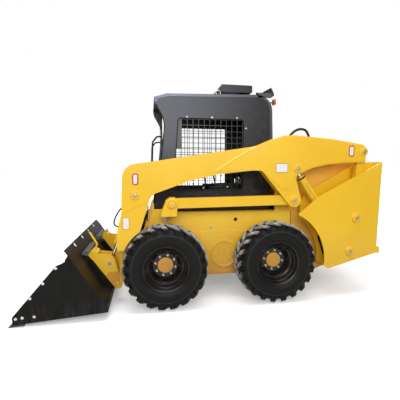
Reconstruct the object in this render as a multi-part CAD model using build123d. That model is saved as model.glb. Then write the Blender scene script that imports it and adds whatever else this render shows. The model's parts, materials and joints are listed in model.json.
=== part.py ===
from build123d import *
from math import atan2, degrees, hypot
import os

# Skid steer loader with a vertical-lift loader linkage, built from its real pieces.
#
# Millimetres, +X forward, +Y to the machine's left, +Z up. While it is being built, X is measured
# from the rear axle and Z from the ground. save() then moves every piece back by MIDDLE, so that
# the finished machine has its origin on the ground below the middle of its length.

os.makedirs("parts", exist_ok=True)

# ---------------------------------------------------------------- driving dimensions
WHEELBASE = 1134.0
TYRE_R = 417.5            # to the tops of the lugs, 12-16.5 tyre
TYRE_W = 303.0
TYRE_OUT = 879.0          # outer wall of a tyre, from the centre plane
RIM_R = 212.0             # bead seat
SIDE_GAP = 16.0           # between a tyre's inner wall and the body side
PLATE = 12.0              # body and arm plate
CAB_HALF = 457.0
CAB_SKIN = 12.0
DECK_Z = 920.0            # top of the chassis sides, which the cab stands on
BELLY_Z = 250.0
ARM_OUT = 780.0           # outer face of the lift arms
ARM_W = 120.0
LINK_W = 60.0
FORK_CLEAR = 7.0          # each side of a link in its fork
BUCKET_HALF = 952.0
PIN_R = 30.0
TILT_PIN_R = 22.0
RUN = 0.05                # radial running clearance of a pin or rod
LEG_INSET = 80.0          # from the body side in to the centre plane of a leg and its cylinder
LEG_W = 124.0             # inner leg, over its two cheeks
CHEEK = 16.0
EAR = 12.0
EAR_GAP = 6.0
HITCH_BOSS = 40.0
TOWER_OUT = 800.0
TIP_X = 1366.0            # bucket tip, ahead of the front axle
TAIL_X = 1200.0           # rearmost point, behind the rear axle

# ---------------------------------------------------------------- derived places
FRONT = WHEELBASE
MIDDLE = (FRONT + TIP_X - TAIL_X) / 2
BODY = TYRE_OUT - TYRE_W - SIDE_GAP
BAY = BODY - PLATE                      # inner face of the body sides
CYL_Y = BODY - LEG_INSET
CAB_IN = CAB_HALF - CAB_SKIN
ARM_IN = ARM_OUT - ARM_W
LINK_Y = (ARM_IN + ARM_OUT) / 2
LEG_OUT = CYL_Y + LEG_W / 2
LEG_IN = CYL_Y - LEG_W / 2
EAR_OUT = LEG_OUT + EAR_GAP             # inner face of the outer hitch ear
EAR_IN = LEG_IN - EAR_GAP               # outer face of the inner hitch ear
TYRE_CLEAR = 15.0

# Pivots, as (X, Z). Front ones are set from the front axle.
LINK_FRONT = (FRONT - 67, 1040)         # lower link on the chassis
ARM_LOBE = (-191, 1058)                 # lower link on the arm
ARM_REAR = (-968, 1563)                 # rear link on the arm
LINK_REAR = (-899, 857)                 # rear link on the tower
CYL_BASE = (-835, 492)                  # lift cylinder on the tower
CYL_TIP = (-222, 1379)                  # lift cylinder on the arm
TILT_TOP = (FRONT + 280, 1129)          # tilt cylinder on the arm
TILT_EYE = (FRONT + 549, 430)           # tilt cylinder on the hitch
HITCH = (FRONT + 478, 212)              # hitch on the arm


def outline(corners):
    """Closed outline in the XZ plane from (x, z) or (x, z, corner radius)."""
    points = [(c[0], 0, c[1]) for c in corners]
    radii = [c[2] if len(c) > 2 else 0 for c in corners]
    if not any(radii):
        return make_face(Polyline(*points, close=True))
    return make_face(FilletPolyline(*points, radius=radii, close=True))


def slab(corners, low, high):
    """Plate with the outline given, between two Y planes."""
    return Pos(0, low, 0) * extrude(outline(corners), amount=high - low, dir=(0, 1, 0))


def round_bar(place, radius, low, high):
    """Cylinder along Y at (X, Z)."""
    return Pos(place[0], (low + high) / 2, place[1]) * Rot(90, 0, 0) * Cylinder(radius, high - low)


def box(x, y, z):
    """Box from three (low, high) pairs."""
    size = [b - a for a, b in (x, y, z)]
    return Pos(*[(a + b) / 2 for a, b in (x, y, z)]) * Box(*size)


def along(start, end, distance):
    """Point at a distance from start towards end, in the XZ plane."""
    length = hypot(end[0] - start[0], end[1] - start[1])
    return tuple(a + (b - a) * distance / length for a, b in zip(start, end))


def strut(start, end, first, last, radius, y):
    """Round bar in the XZ plane on the line from start to end, between two distances."""
    middle = along(start, end, (first + last) / 2)
    turn = degrees(atan2(end[0] - start[0], end[1] - start[1]))
    return Pos(middle[0], y, middle[1]) * Rot(0, turn, 0) * Cylinder(radius, last - first)


def band(start, end, half, low, high):
    """Straight bar in the XZ plane from start to end, with square ends, between two Y planes."""
    length = hypot(end[0] - start[0], end[1] - start[1])
    turn = degrees(atan2(end[1] - start[1], end[0] - start[0]))
    middle = along(start, end, length / 2)
    place = Pos(middle[0], (low + high) / 2, middle[1]) * Rot(0, -turn, 0)
    return place * Box(length, high - low, 2 * half)


def tube_path(points, radii, radius):
    """Round tube or rod along straight runs joined by tangent arcs."""
    path = FilletPolyline(*points, radius=radii)
    start = Plane(origin=path @ 0, z_dir=path % 0)
    return sweep(start * Circle(radius), path=path)


def pair(*solids):
    """Left pieces and their mirror images on the right."""
    return list(solids) + [mirror(s, about=Plane.XZ) for s in solids]


def save(name, *solids):
    """Move the pieces to the finished frame and write them as one STEP file."""
    groups = [group if isinstance(group, list) else [group] for group in solids]
    loose = [one for group in groups for s in group for one in (Pos(-MIDDLE, 0, 0) * s).solids()]
    shape = loose[0] if len(loose) == 1 else Compound(children=loose)
    export_step(shape, f"parts/{name}.step")


# ---------------------------------------------------------------- wheels and axles
HUB_FACE = TYRE_OUT - 171.0             # outer face of the hub cap
DISC_Y = HUB_FACE - 26.0
HUB_CAP_R = 77.0
HUB_FLANGE_R = 125.0
SHAFT_R = 40.0
HOUSING_R = 75.0
HOUSING_END = DISC_Y - 27.0
SHAFT_END = 430.0
RIM_BARREL = 7.0
RIM_LIP = 13.0


def revolved(profile, x):
    """Ring about a wheel's axis from a profile of (Y, radius) points."""
    face = make_face(Polyline(*[(0, y, r) for y, r in profile], close=True))
    return Pos(x, 0, TYRE_R) * revolve(face, axis=Axis.Y)


def tyre(x):
    """Inflated 12-16.5 tyre with a flat tread and bulged walls."""
    low, high = TYRE_OUT - TYRE_W, TYRE_OUT
    half = [(26, RIM_R), (10, 240), (0, 300), (4, 360), (18, TYRE_R)]
    profile = [(low + d, r) for d, r in half] + [(high - d, r) for d, r in reversed(half)]
    return revolved(profile, x)


def rim(x):
    """Deep-dish rim: rolled barrel with two lips, and the disc that bolts to the hub."""
    low, high = TYRE_OUT - TYRE_W + 26, TYRE_OUT - 26
    inner = RIM_R - RIM_BARREL
    barrel = revolved([(low - 8, inner), (low - 8, RIM_R + RIM_LIP), (low, RIM_R + RIM_LIP), (low, RIM_R),
                       (high, RIM_R), (high, RIM_R + RIM_LIP), (high + 8, RIM_R + RIM_LIP),
                       (high + 8, inner)], x)
    walls = tyre(x)
    disc = revolved([(DISC_Y, HUB_CAP_R + 2), (DISC_Y, inner + 1), (DISC_Y + PLATE, inner + 1),
                     (DISC_Y + PLATE, HUB_CAP_R + 2)], x)
    return (barrel + disc) - walls


def axle(x):
    """Hub flange, its cap, and the shaft that runs into the chain case."""
    return revolved([(SHAFT_END, 0), (SHAFT_END, SHAFT_R), (DISC_Y - 20, SHAFT_R),
                     (DISC_Y - 20, HUB_FLANGE_R),
                     (DISC_Y, HUB_FLANGE_R), (DISC_Y, HUB_CAP_R), (HUB_FACE, HUB_CAP_R), (HUB_FACE, 0)], x)


for end, x in (("front", FRONT), ("rear", 0.0)):
    for maker, name in ((tyre, "tyre"), (rim, "rim"), (axle, "axle")):
        left, right = pair(maker(x))
        save(f"{name}_{end}_left", left)
        save(f"{name}_{end}_right", right)

# ---------------------------------------------------------------- chassis
SEAM_X = -246.0
BAY_TOP = 1455.0
TAIL_TOP = (-1181, BAY_TOP)
TAIL_LOW = (-1156, 529)
TAIL_BOTTOM = (-1145, 461)
COWL = [(-60, 1290), (-420, BAY_TOP)]   # slope from the cab up to the engine cover
FRONT_TOP = (FRONT + 116, DECK_Z + 44)
FRONT_KNEE = (FRONT + 196, 700)
FRONT_NOSE = (FRONT + 266, 420)
FRONT_LOW = (FRONT + 246, BELLY_Z)
CASE_TOP = 713.0
CASE_T = 7.0
BOSS = (FRONT / 2 - 62, 474)
BOSS_R = 148.0
TIE_DOWN = (FRONT / 2 - 187, 839)       # hole for a transport chain
TIE_DOWN_R = 14.0

body_outline = [(-60, DECK_Z), (FRONT - 90, DECK_Z), (FRONT - 40, DECK_Z + 44), FRONT_TOP, FRONT_KNEE,
                FRONT_NOSE,
                FRONT_LOW, (-560, BELLY_Z), TAIL_BOTTOM, TAIL_LOW, TAIL_TOP, COWL[1], COWL[0]]
shaft_holes = [round_bar((x, TYRE_R), SHAFT_R + RUN, SHAFT_END - 20, ARM_OUT) for x in (0.0, FRONT)]
side = slab(body_outline, BAY, BODY) - shaft_holes - round_bar(TIE_DOWN, TIE_DOWN_R, BAY - 1, BODY + 1)
deck = box((SEAM_X, FRONT + 60), (CAB_IN, BAY), (DECK_Z - PLATE, DECK_Z))
front_side = split(side, bisect_by=Plane(origin=(SEAM_X, 0, 0), z_dir=(1, 0, 0)), keep=Keep.TOP)
rear_side = split(side, bisect_by=Plane(origin=(SEAM_X, 0, 0), z_dir=(1, 0, 0)), keep=Keep.BOTTOM)
save("chassis_sides", pair(front_side))
save("deck_ledges", pair(deck))
save("engine_bay_sides", pair(rear_side))

# Belly sheet, turned up in front to close the footwell and at the back to clear the ground.
belly = [FRONT_TOP, FRONT_KNEE, FRONT_NOSE, FRONT_LOW, (-560, BELLY_Z), TAIL_BOTTOM]
inside = [(TAIL_BOTTOM[0] + 4, TAIL_BOTTOM[1] + PLATE), (-558, BELLY_Z + PLATE),
          (FRONT_LOW[0] - 9, BELLY_Z + PLATE),
          (FRONT_NOSE[0] - 13, FRONT_NOSE[1]), (FRONT_KNEE[0] - 13, FRONT_KNEE[1] - 3),
          (FRONT_TOP[0] - 13, FRONT_TOP[1])]
save("belly_sheet", slab(belly + inside, -BAY, BAY))

case = slab([(-480, BELLY_Z + 12, 60), (-300, CASE_TOP, 40), (FRONT + 130, CASE_TOP, 40),
             (FRONT + 200, BELLY_Z + 12, 60)], BODY, BODY + CASE_T)
case += round_bar(BOSS, BOSS_R, BODY, BODY + CASE_T + 3)
for x in (0.0, FRONT):
    case += round_bar((x, TYRE_R), HOUSING_R + 30, BODY, BODY + 20)
    case += round_bar((x, TYRE_R), HOUSING_R, BODY, HOUSING_END)
save("chain_cases", pair(case - shaft_holes))

# Fork that carries the front end of the lower link, on a shelf above the front tyre.
fork = (LINK_W / 2 + FORK_CLEAR)
BRACKET_T = 16.0
SHELF_Z = DECK_Z + 10.0
cheek = [(LINK_FRONT[0] - 44, SHELF_Z - 15), (LINK_FRONT[0] + 105, SHELF_Z - 15, 8),
         (LINK_FRONT[0] + 105, SHELF_Z + 15),
         (LINK_FRONT[0] + 56, LINK_FRONT[1] + 30, 30), (LINK_FRONT[0] + 20, LINK_FRONT[1] + 58, 30),
         (LINK_FRONT[0] - 40, LINK_FRONT[1] + 58, 30), (LINK_FRONT[0] - 56, LINK_FRONT[1] + 10, 20)]
bracket = slab(cheek, LINK_Y + fork, LINK_Y + fork + BRACKET_T)
bracket += slab(cheek, LINK_Y - fork - BRACKET_T, LINK_Y - fork)
bracket += box((LINK_FRONT[0] - 44, LINK_FRONT[0] + 105), (BODY, LINK_Y + fork + BRACKET_T),
               (SHELF_Z - 15, SHELF_Z))
bracket += round_bar(LINK_FRONT, 50, LINK_Y + fork + BRACKET_T, LINK_Y + fork + BRACKET_T + 10)
save("link_brackets", pair(bracket - round_bar(LINK_FRONT, PIN_R, BODY, TOWER_OUT + 20)))

# Rear towers: outer plate with the wheel arch, and the web that joins it to the body side.
ARCH_R = 540.0
TOWER_IN = TOWER_OUT - PLATE
tower = slab([(-235, 913, 12), (-300, 962, 60), (-447, 1087), TAIL_TOP, TAIL_LOW, TAIL_BOTTOM, (-585, 315),
              (-300, 500)],
             TOWER_IN, TOWER_OUT) - round_bar((0, TYRE_R), ARCH_R, TOWER_IN - 1, TOWER_OUT + 1)
tower += slab([TAIL_TOP, TAIL_LOW, TAIL_BOTTOM, (TAIL_BOTTOM[0] + 13, TAIL_BOTTOM[1]),
               (TAIL_LOW[0] + 12, TAIL_LOW[1]),
               (TAIL_TOP[0] + 12, BAY_TOP)], BODY, TOWER_IN + 1)
tower += slab([TAIL_BOTTOM, (-600, 319), (-600, 332), (TAIL_BOTTOM[0] + 4, TAIL_BOTTOM[1] + 13)], BODY,
              TOWER_IN + 1)
RIB_IN = BODY + 52.0                    # inner plate of the tower, clear of the arm and both links
RIB_T = 8.0
rib = slab([(-330, 1000), (-385, 1118, 20), (-1004, BAY_TOP - 6), (TAIL_TOP[0] + 10, BAY_TOP - 6),
            (TAIL_LOW[0] + 10, TAIL_LOW[1]), (TAIL_BOTTOM[0] + 10, TAIL_BOTTOM[1] + 6), (-600, 326),
            (-300, 500)],
           RIB_IN, RIB_IN + RIB_T)
tower += rib - round_bar((0, TYRE_R), ARCH_R, RIB_IN - 1, RIB_IN + RIB_T + 1)
for place in (LINK_REAR, CYL_BASE):
    tower += round_bar(place, 50, TOWER_OUT, TOWER_OUT + 12)
tower -= [round_bar(place, PIN_R, BODY + 1, TOWER_OUT + 20) for place in (LINK_REAR, CYL_BASE)]
save("rear_towers", pair(tower))

# Chassis pins. The rear link's pivot is two stubs, one on each wall, with the link between them.
STUB = 18.0
PIN_END = 20.0
pins = [round_bar(LINK_FRONT, PIN_R, LINK_Y - fork - BRACKET_T, LINK_Y + fork + BRACKET_T + PIN_END),
        round_bar(CYL_BASE, PIN_R, BODY, TOWER_OUT + PIN_END),
        round_bar(LINK_REAR, PIN_R, BODY, BODY + STUB),
        round_bar(LINK_REAR, PIN_R, TOWER_IN - STUB, TOWER_OUT + PIN_END)]
save("chassis_pins", pair(*pins))

# Engine and pump as one block on four feet.
ENGINE = ((-930, -260), (-270, 270), (430, 960))
engine = box(*ENGINE)
FLOOR_IN = BELLY_Z + PLATE
for x in (-520, -330):
    for y in (-230, 230):
        engine += box((x - 30, x + 30), (y - 30, y + 30), (FLOOR_IN, ENGINE[2][0] + 1))
save("engine", engine)

cover = slab([COWL[0], COWL[1], (-1150, BAY_TOP), (-1150, BAY_TOP - PLATE),
              (COWL[1][0] + 3, BAY_TOP - PLATE),
              (COWL[0][0], COWL[0][1] - 13)], -BAY, BAY)
save("engine_cover", cover)

bumper = slab([TAIL_LOW, TAIL_BOTTOM, (-TAIL_X + 8, TAIL_BOTTOM[1] - 3, 6),
               (-TAIL_X + 8, TAIL_LOW[1] + 1, 6)],
              -TOWER_OUT, TOWER_OUT)
save("rear_bumper", bumper)

# Rear door on two pin hinges at its left edge.
DOOR_X = (-1178.0, -1157.0)
DOOR_Z = (545.0, 1432.0)
HINGE = (-TAIL_X + 12, BODY - 14)
HINGE_R = 7.0
KNUCKLE_R = 11.0
DOOR_GAP = 6.0
door = box(DOOR_X, (-BAY + DOOR_GAP, BAY - DOOR_GAP - 18), DOOR_Z)
door -= box((DOOR_X[0] - 1, DOOR_X[1] + 1), (-360, 360), (700, 1290))
for n in range(9):
    z = 730 + n * 66
    door += slab([(DOOR_X[0], z), (DOOR_X[1], z + 25), (DOOR_X[1], z + 31), (DOOR_X[0], z + 6)], -361, 361)
hinge_pins = []
for z in (700.0, 1200.0):
    knuckle = Pos(HINGE[0], HINGE[1], z) * Cylinder(KNUCKLE_R, 50)
    arm = box((HINGE[0] - 4, HINGE[0] + 6), (BAY - DOOR_GAP - 60, HINGE[1]), (z - 25, z + 25))
    arm += box((HINGE[0] + 2, DOOR_X[0] + 1), (BAY - DOOR_GAP - 60, BAY - DOOR_GAP - 18), (z - 25, z + 25))
    door += (knuckle + arm) - Pos(HINGE[0], HINGE[1], z) * Cylinder(HINGE_R + RUN, 60)
    pin = Pos(HINGE[0], HINGE[1], z) * Cylinder(HINGE_R, 90)
    for side_z in (z - 36, z + 36):
        pin += Pos(HINGE[0], HINGE[1], side_z) * Cylinder(KNUCKLE_R, 18)
        pin += box((HINGE[0] - 4, HINGE[0] + 6), (HINGE[1], BODY + 20), (side_z - 9, side_z + 9))
        pin += box((HINGE[0] + 2, TAIL_TOP[0] + 15), (BODY + 1, BODY + 20),
                   (side_z - 9, side_z + 9)) - tower
    hinge_pins.append(pin)
save("rear_door", door)
save("door_hinges", *hinge_pins)

# ---------------------------------------------------------------- cab
CAB_REAR = -40.0
ROOF_FRONT = FRONT + 87
ROOF_Z = 2173.0
SILL_X = FRONT + 106
cab_outline = [(CAB_REAR, DECK_Z), (SILL_X, DECK_Z), (FRONT + 91, 1052), (FRONT + 24, 1472),
               (FRONT - 18, 1870, 60),
               (ROOF_FRONT - 9, 2041, 10), (ROOF_FRONT, 2107, 12), (FRONT - 42, ROOF_Z - 26, 60),
               (134, ROOF_Z, 200),
               (-46, ROOF_Z, 170), (-61, 1704, 400), (CAB_REAR, 1222)]
window = [(276, 1150, 30), (FRONT - 109, 1150, 30), (FRONT - 160, 1900, 30), (276, 1900, 30)]
LAP_PIVOT = (60.0, 1480.0)
LAP_R = 12.0
cab_side = slab(cab_outline, CAB_IN, CAB_HALF) - slab(window, CAB_IN - 1, CAB_HALF + 1)
cab_side -= [box((x, x + 9), (CAB_IN - 1, CAB_HALF + 1), (1150, 1240)) for x in (60, 85, 110, 135)]
lap_socket = round_bar(LAP_PIVOT, 28, CAB_IN - 30, CAB_IN + 1)
cab_side += lap_socket - round_bar(LAP_PIVOT, LAP_R + RUN, CAB_IN - 31, CAB_IN)
save("cab_sides", pair(cab_side))

# Roof and back are one sheet inside the side plates, bent round the rear corner and split there.
SPLIT_Z = 1990.0
skin = slab(cab_outline, -CAB_IN, CAB_IN)
hollow = [(CAB_REAR + CAB_SKIN, DECK_Z - 5), (ROOF_FRONT + 60, DECK_Z - 5), (ROOF_FRONT + 60, 2080),
          (ROOF_FRONT - 4, 2100), (FRONT - 44, ROOF_Z - 26 - CAB_SKIN, 60), (134, ROOF_Z - CAB_SKIN, 200),
          (-46 + CAB_SKIN, ROOF_Z - CAB_SKIN, 158), (-61 + CAB_SKIN, 1704, 400),
          (CAB_REAR + CAB_SKIN, 1222)]
skin -= slab(hollow, -CAB_IN - 1, CAB_IN + 1)
roof = split(skin, bisect_by=Plane(origin=(0, 0, SPLIT_Z), z_dir=(0, 0, 1)), keep=Keep.TOP)
back = split(skin, bisect_by=Plane(origin=(0, 0, SPLIT_Z), z_dir=(0, 0, 1)), keep=Keep.BOTTOM)
BACK_WINDOW = ((-300, 300), (1380, 1860))
back -= box((CAB_REAR - 40, CAB_REAR + 30), *BACK_WINDOW)
save("cab_roof", roof)
save("cab_rear", back)
glass_bed = [(-33.6, 1355), (-48.5, 1704), (-42.8, 1885)]      # inner face of the back, 0.2 mm off
glass = glass_bed + [(x + 6, z) for x, z in reversed(glass_bed)]
save("rear_glass", slab(glass, BACK_WINDOW[0][0] - 25, BACK_WINDOW[0][1] + 25))

SEAT_DECK = DECK_Z - 15.0
FOOT_Z = 560.0
RISER_X = FRONT - 654
cab_floor = box((CAB_REAR - 20, RISER_X), (-CAB_IN, CAB_IN), (SEAT_DECK - PLATE, SEAT_DECK))
cab_floor += box((RISER_X - PLATE, RISER_X), (-BAY, BAY), (FOOT_Z - PLATE, SEAT_DECK - PLATE))
cab_floor += box((RISER_X - PLATE, FRONT + 200), (-BAY, BAY), (FOOT_Z - PLATE, FOOT_Z))
for pedal_y in (-200, 80):
    cab_floor += box((FRONT + 40, FRONT + 52), (pedal_y, pedal_y + 120), (FOOT_Z, FOOT_Z + 60))
save("cab_floor", cab_floor)

# Guard grids on the inside of the side windows.
WIRE_X, WIRE_Z, WIRE = 60.0, 62.0, 6.0
GUARD_LAP = 22.0
guard_outline = [(276 - GUARD_LAP, 1150 - GUARD_LAP, 20), (FRONT - 109 + GUARD_LAP, 1150 - GUARD_LAP, 20),
                 (FRONT - 160 + GUARD_LAP, 1900 + GUARD_LAP, 20), (276 - GUARD_LAP, 1900 + GUARD_LAP, 20)]
guard = slab(guard_outline, CAB_IN - WIRE, CAB_IN)
rows = int((1900 - 1150) // WIRE_Z)
meshes = []
for row in range(rows):
    z = 1150 + (row + 0.5) * WIRE_Z + 3
    reach = FRONT - 109 - 51 * (z - 1150) / 750 - 276
    columns = int(reach // WIRE_X)
    for column in range(columns):
        x = 276 + (column + 0.5) * WIRE_X + 4
        meshes.append(box((x - WIRE_X / 2 + 3, x + WIRE_X / 2 - 3), (CAB_IN - WIRE - 1, CAB_IN + 1),
                          (z - WIRE_Z / 2 + 3, z + WIRE_Z / 2 - 3)))
save("window_guards", pair(guard - meshes))

# Seat, control levers and lap bar.
SEAT_X = (70.0, 470.0)
SEAT_HALF = 230.0
CUSHION_Z = (1090.0, 1200.0)
save("seat_base", box((SEAT_X[0] + 30, SEAT_X[1] - 50), (-180, 180), (SEAT_DECK, CUSHION_Z[0])))
BACK_LOW_Z = CUSHION_Z[1] + 0.3
seat_back = slab([(SEAT_X[0] + 12, BACK_LOW_Z, 20), (SEAT_X[0] + 110, BACK_LOW_Z, 20),
                  (SEAT_X[0] + 60, 1640, 30),
                  (SEAT_X[0] - 38, 1640, 30)], -SEAT_HALF + 10, SEAT_HALF - 10)
cushion = slab([(SEAT_X[0], CUSHION_Z[0], 20), (SEAT_X[1], CUSHION_Z[0], 20), (SEAT_X[1], CUSHION_Z[1], 40),
                (SEAT_X[0], CUSHION_Z[1], 20)], -SEAT_HALF, SEAT_HALF)
save("seat_cushions", cushion, seat_back)

LEVER_Y = 330.0
pod = box((SEAT_X[1] - 90, SEAT_X[1] - 30), (LEVER_Y - 30, LEVER_Y + 30), (SEAT_DECK, 1150))
pod += box((SEAT_X[1] - 90, SEAT_X[1] + 130), (LEVER_Y - 35, LEVER_Y + 35), (1130, 1180))
lever = tube_path([(SEAT_X[1] + 90, LEVER_Y, 1175), (SEAT_X[1] + 95, LEVER_Y, 1240),
                   (SEAT_X[1] + 115, LEVER_Y - 12, 1330)],
                  [40], 9)
grip = Pos(SEAT_X[1] + 119, LEVER_Y - 14, 1350) * Rot(0, 12, 0) * Cylinder(19, 100)
save("control_levers", pair(pod + lever + grip))

LAP_Y = 395.0
LAP_REACH = 480.0
lap = [(LAP_PIVOT[0], CAB_IN - 2, LAP_PIVOT[1]), (LAP_PIVOT[0], LAP_Y, LAP_PIVOT[1]),
       (LAP_PIVOT[0] + LAP_REACH, LAP_Y, 1420),
       (LAP_PIVOT[0] + LAP_REACH, -LAP_Y, 1420), (LAP_PIVOT[0], -LAP_Y, LAP_PIVOT[1]),
       (LAP_PIVOT[0], 2 - CAB_IN, LAP_PIVOT[1])]
save("lap_bar", tube_path(lap, [25, 90, 90, 25], LAP_R))

# Grab loops on the front posts.
post = (FRONT - 4, FRONT + 26)
loop_y = CAB_HALF - 6
grab = tube_path([(post[0], loop_y, 1712), (FRONT + 62, loop_y, 1706), (FRONT + 106, loop_y, 1650),
                  (FRONT + 114, loop_y, 1440),
                  (post[1], loop_y, 1425)], [30, 40, 30], 9)
grab -= slab(cab_outline, CAB_IN - 2, CAB_HALF + 2)
save("grab_handles", pair(grab))

# Box on the roof on two feet, with the lifting ring in front of it.
UNIT_X = (114.0, 474.0)
UNIT_Z = (2236.0, 2318.0)
unit = box(UNIT_X, (-240, 240), UNIT_Z)
unit = fillet(unit.edges().filter_by(Axis.Y), 14)
for x in (UNIT_X[0] + 40, UNIT_X[1] - 40):
    foot = box((x - 20, x + 20), (-200, 200), (ROOF_Z - 7, UNIT_Z[0] + 1))
    unit += foot - slab(cab_outline, -CAB_HALF, CAB_HALF)
save("roof_unit", unit)

ring = Pos(UNIT_X[1] + 40, 260, 2216) * Rot(90, 0, 0) * Torus(26, 8)
ring_foot = box((UNIT_X[1] + 22, UNIT_X[1] + 58), (250, 270), (ROOF_Z - 14, 2198))
ring += ring_foot - slab(cab_outline, -CAB_HALF, CAB_HALF)
lamp = Pos(-46, 300, 2226) * Rot(0, 28, 0) * Box(80, 120, 70)
lamp += box((-20, 0), (265, 300), (2080, 2216)) - slab(cab_outline, -CAB_HALF, CAB_HALF)
tail = [box((-126, -104), (y - 35, y + 35), (2096, 2152)) + box((-105, 40), (y - 12, y + 12), (2112, 2124))
        - slab(cab_outline, -CAB_HALF, CAB_HALF) for y in (-330, 330)]
save("lifting_ring", ring)
save("rear_work_light", lamp)
save("tail_lamps", *tail)

# ---------------------------------------------------------------- loader linkage
lobe_r = 74.0
EYE_ROOM = 56.0                         # pocket round the lift rod's eye
# The open eye's way out and back during a lift, seen from the arm.
EYE_PATH = [CYL_TIP] + [(CYL_TIP[0] + x, CYL_TIP[1] + z) for x, z in ((56, -41), (90, -106), (66, -137))]
arm_outline = [(FRONT + 411, 956), (FRONT + 393, 1404, 140), (215, 1607, 400), (-70, 1728, 520),
               (-600, 1688, 900),
               (-990, 1632, 58), (-992, 1448, 20), (-780, 1446), (-560, 1427, 300), (-370, 1386, 200),
               (-196, 1306, 50),
               (-256, 1092), (-262, 1050), (-135, 1008), (172, 1372, 24), (600, 1326, 900),
               (900, 1260, 900),
               (FRONT + 130, 1128, 110), (FRONT + 240, 777), (FRONT + 300, 600), (FRONT + 456, 600),
               (FRONT + 456, 770, 300)]
tyre_room = round_bar((FRONT, TYRE_R), TYRE_R + TYRE_CLEAR, BODY + 5, TOWER_OUT + 100)
slot = (LINK_Y - fork, LINK_Y + fork)
arm = slab(arm_outline, ARM_IN, ARM_OUT) + round_bar(ARM_LOBE, lobe_r, ARM_IN, ARM_OUT)
arm -= box((ARM_LOBE[0] - 90, ARM_LOBE[0] + 500), slot, (ARM_LOBE[1] - 100, ARM_LOBE[1] + 62))
arm -= box((CYL_TIP[0] - 260, CYL_TIP[0] + 60), slot, (CYL_TIP[1] - 300, CYL_TIP[1] + 34))
for here, there in zip(EYE_PATH, EYE_PATH[1:] + EYE_PATH[:1]):
    arm -= band(here, there, EYE_ROOM, *slot) + round_bar(here, EYE_ROOM, *slot)
arm -= box((ARM_REAR[0] - 120, ARM_REAR[0] + 70), slot, (ARM_REAR[1] - 160, ARM_REAR[1] + 10))
arm -= round_bar(ARM_REAR, 62, *slot)

leg_outline = [(FRONT + 225, 1195, 40), (FRONT + 350, 1200, 60), (FRONT + 411, 956),
               (FRONT + 456, 770, 300),
               (FRONT + 456, 300, 60), (HITCH[0] + 16, HITCH[1] - 20), (HITCH[0] - 34, HITCH[1] - 18, 20),
               (FRONT + 336, 330, 100), (FRONT + 308, 520), (FRONT + 304, 700), (FRONT + 240, 850),
               (FRONT + 206, 1100, 60)]
cross = [(FRONT + 225, 1195, 40), (FRONT + 350, 1200, 60), (FRONT + 411, 956), (FRONT + 456, 770, 300),
         (FRONT + 456, 600), (FRONT + 300, 600), (FRONT + 240, 777), (FRONT + 200, 1000, 60)]
arm += slab(cross, LEG_OUT - CHEEK, ARM_IN + 1)
arm -= tyre_room
for low in (LEG_OUT - CHEEK, LEG_IN):
    arm += slab(leg_outline, low, low + CHEEK) + round_bar(HITCH, HITCH_BOSS, low, low + CHEEK)
web = [(FRONT + 336, 340), (FRONT + 308, 520), (FRONT + 304, 700), (FRONT + 240, 850), (FRONT + 224, 960),
       (FRONT + 240, 960), (FRONT + 256, 853), (FRONT + 320, 705), (FRONT + 324, 522), (FRONT + 352, 344)]
arm += slab(web, LEG_IN + CHEEK - 1, LEG_OUT - CHEEK + 1)
for place, size in ((ARM_LOBE, 44), (CYL_TIP, 44), (ARM_REAR, 44), (TILT_TOP, 42)):
    arm += round_bar(place, size, ARM_OUT, ARM_OUT + 9)
arm -= [round_bar(place, PIN_R, ARM_IN - 1, ARM_OUT + 20) for place in (ARM_LOBE, CYL_TIP, ARM_REAR)]
arm -= round_bar(TILT_TOP, TILT_PIN_R, LEG_IN - 1, ARM_OUT + 20)
arm -= round_bar(HITCH, TILT_PIN_R, LEG_IN - 1, LEG_OUT + 1)
save("lift_arms", pair(arm))

TUBE_R = 50.0
front_tube = round_bar((FRONT + 368, 570), TUBE_R, -LEG_IN, LEG_IN)
rear_tube = round_bar((-640, 1560), TUBE_R - 5, -ARM_IN, ARM_IN)
save("arm_cross_tubes", front_tube, rear_tube)

ARM_PIN_END = 14.0
arm_pins = [round_bar(ARM_LOBE, PIN_R, ARM_IN, ARM_OUT + ARM_PIN_END),
            round_bar(ARM_REAR, PIN_R, ARM_IN, ARM_OUT + ARM_PIN_END),
            round_bar(CYL_TIP, PIN_R, ARM_IN, LINK_Y - fork + 4),
            round_bar(CYL_TIP, PIN_R, LINK_Y + fork - 4, ARM_OUT + ARM_PIN_END),
            round_bar(TILT_TOP, TILT_PIN_R, LEG_IN - 6, ARM_OUT + ARM_PIN_END),
            round_bar(HITCH, TILT_PIN_R, EAR_IN - EAR - 10, EAR_OUT + EAR + 8)]
save("arm_pins", pair(*arm_pins))


def link(start, end, half, end_r, y):
    """Flat bar with round ends, bored for its two pins."""
    bar = band(start, end, half, y - LINK_W / 2, y + LINK_W / 2)
    bar += [round_bar(p, end_r, y - LINK_W / 2, y + LINK_W / 2) for p in (start, end)]
    return bar - [round_bar(p, PIN_R + RUN, y - LINK_W, y + LINK_W) for p in (start, end)]


save("lower_links", pair(link(LINK_FRONT, ARM_LOBE, 50, 54, LINK_Y)))
save("rear_links", pair(link(ARM_REAR, LINK_REAR, 44, 48, LINK_Y)))


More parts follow.
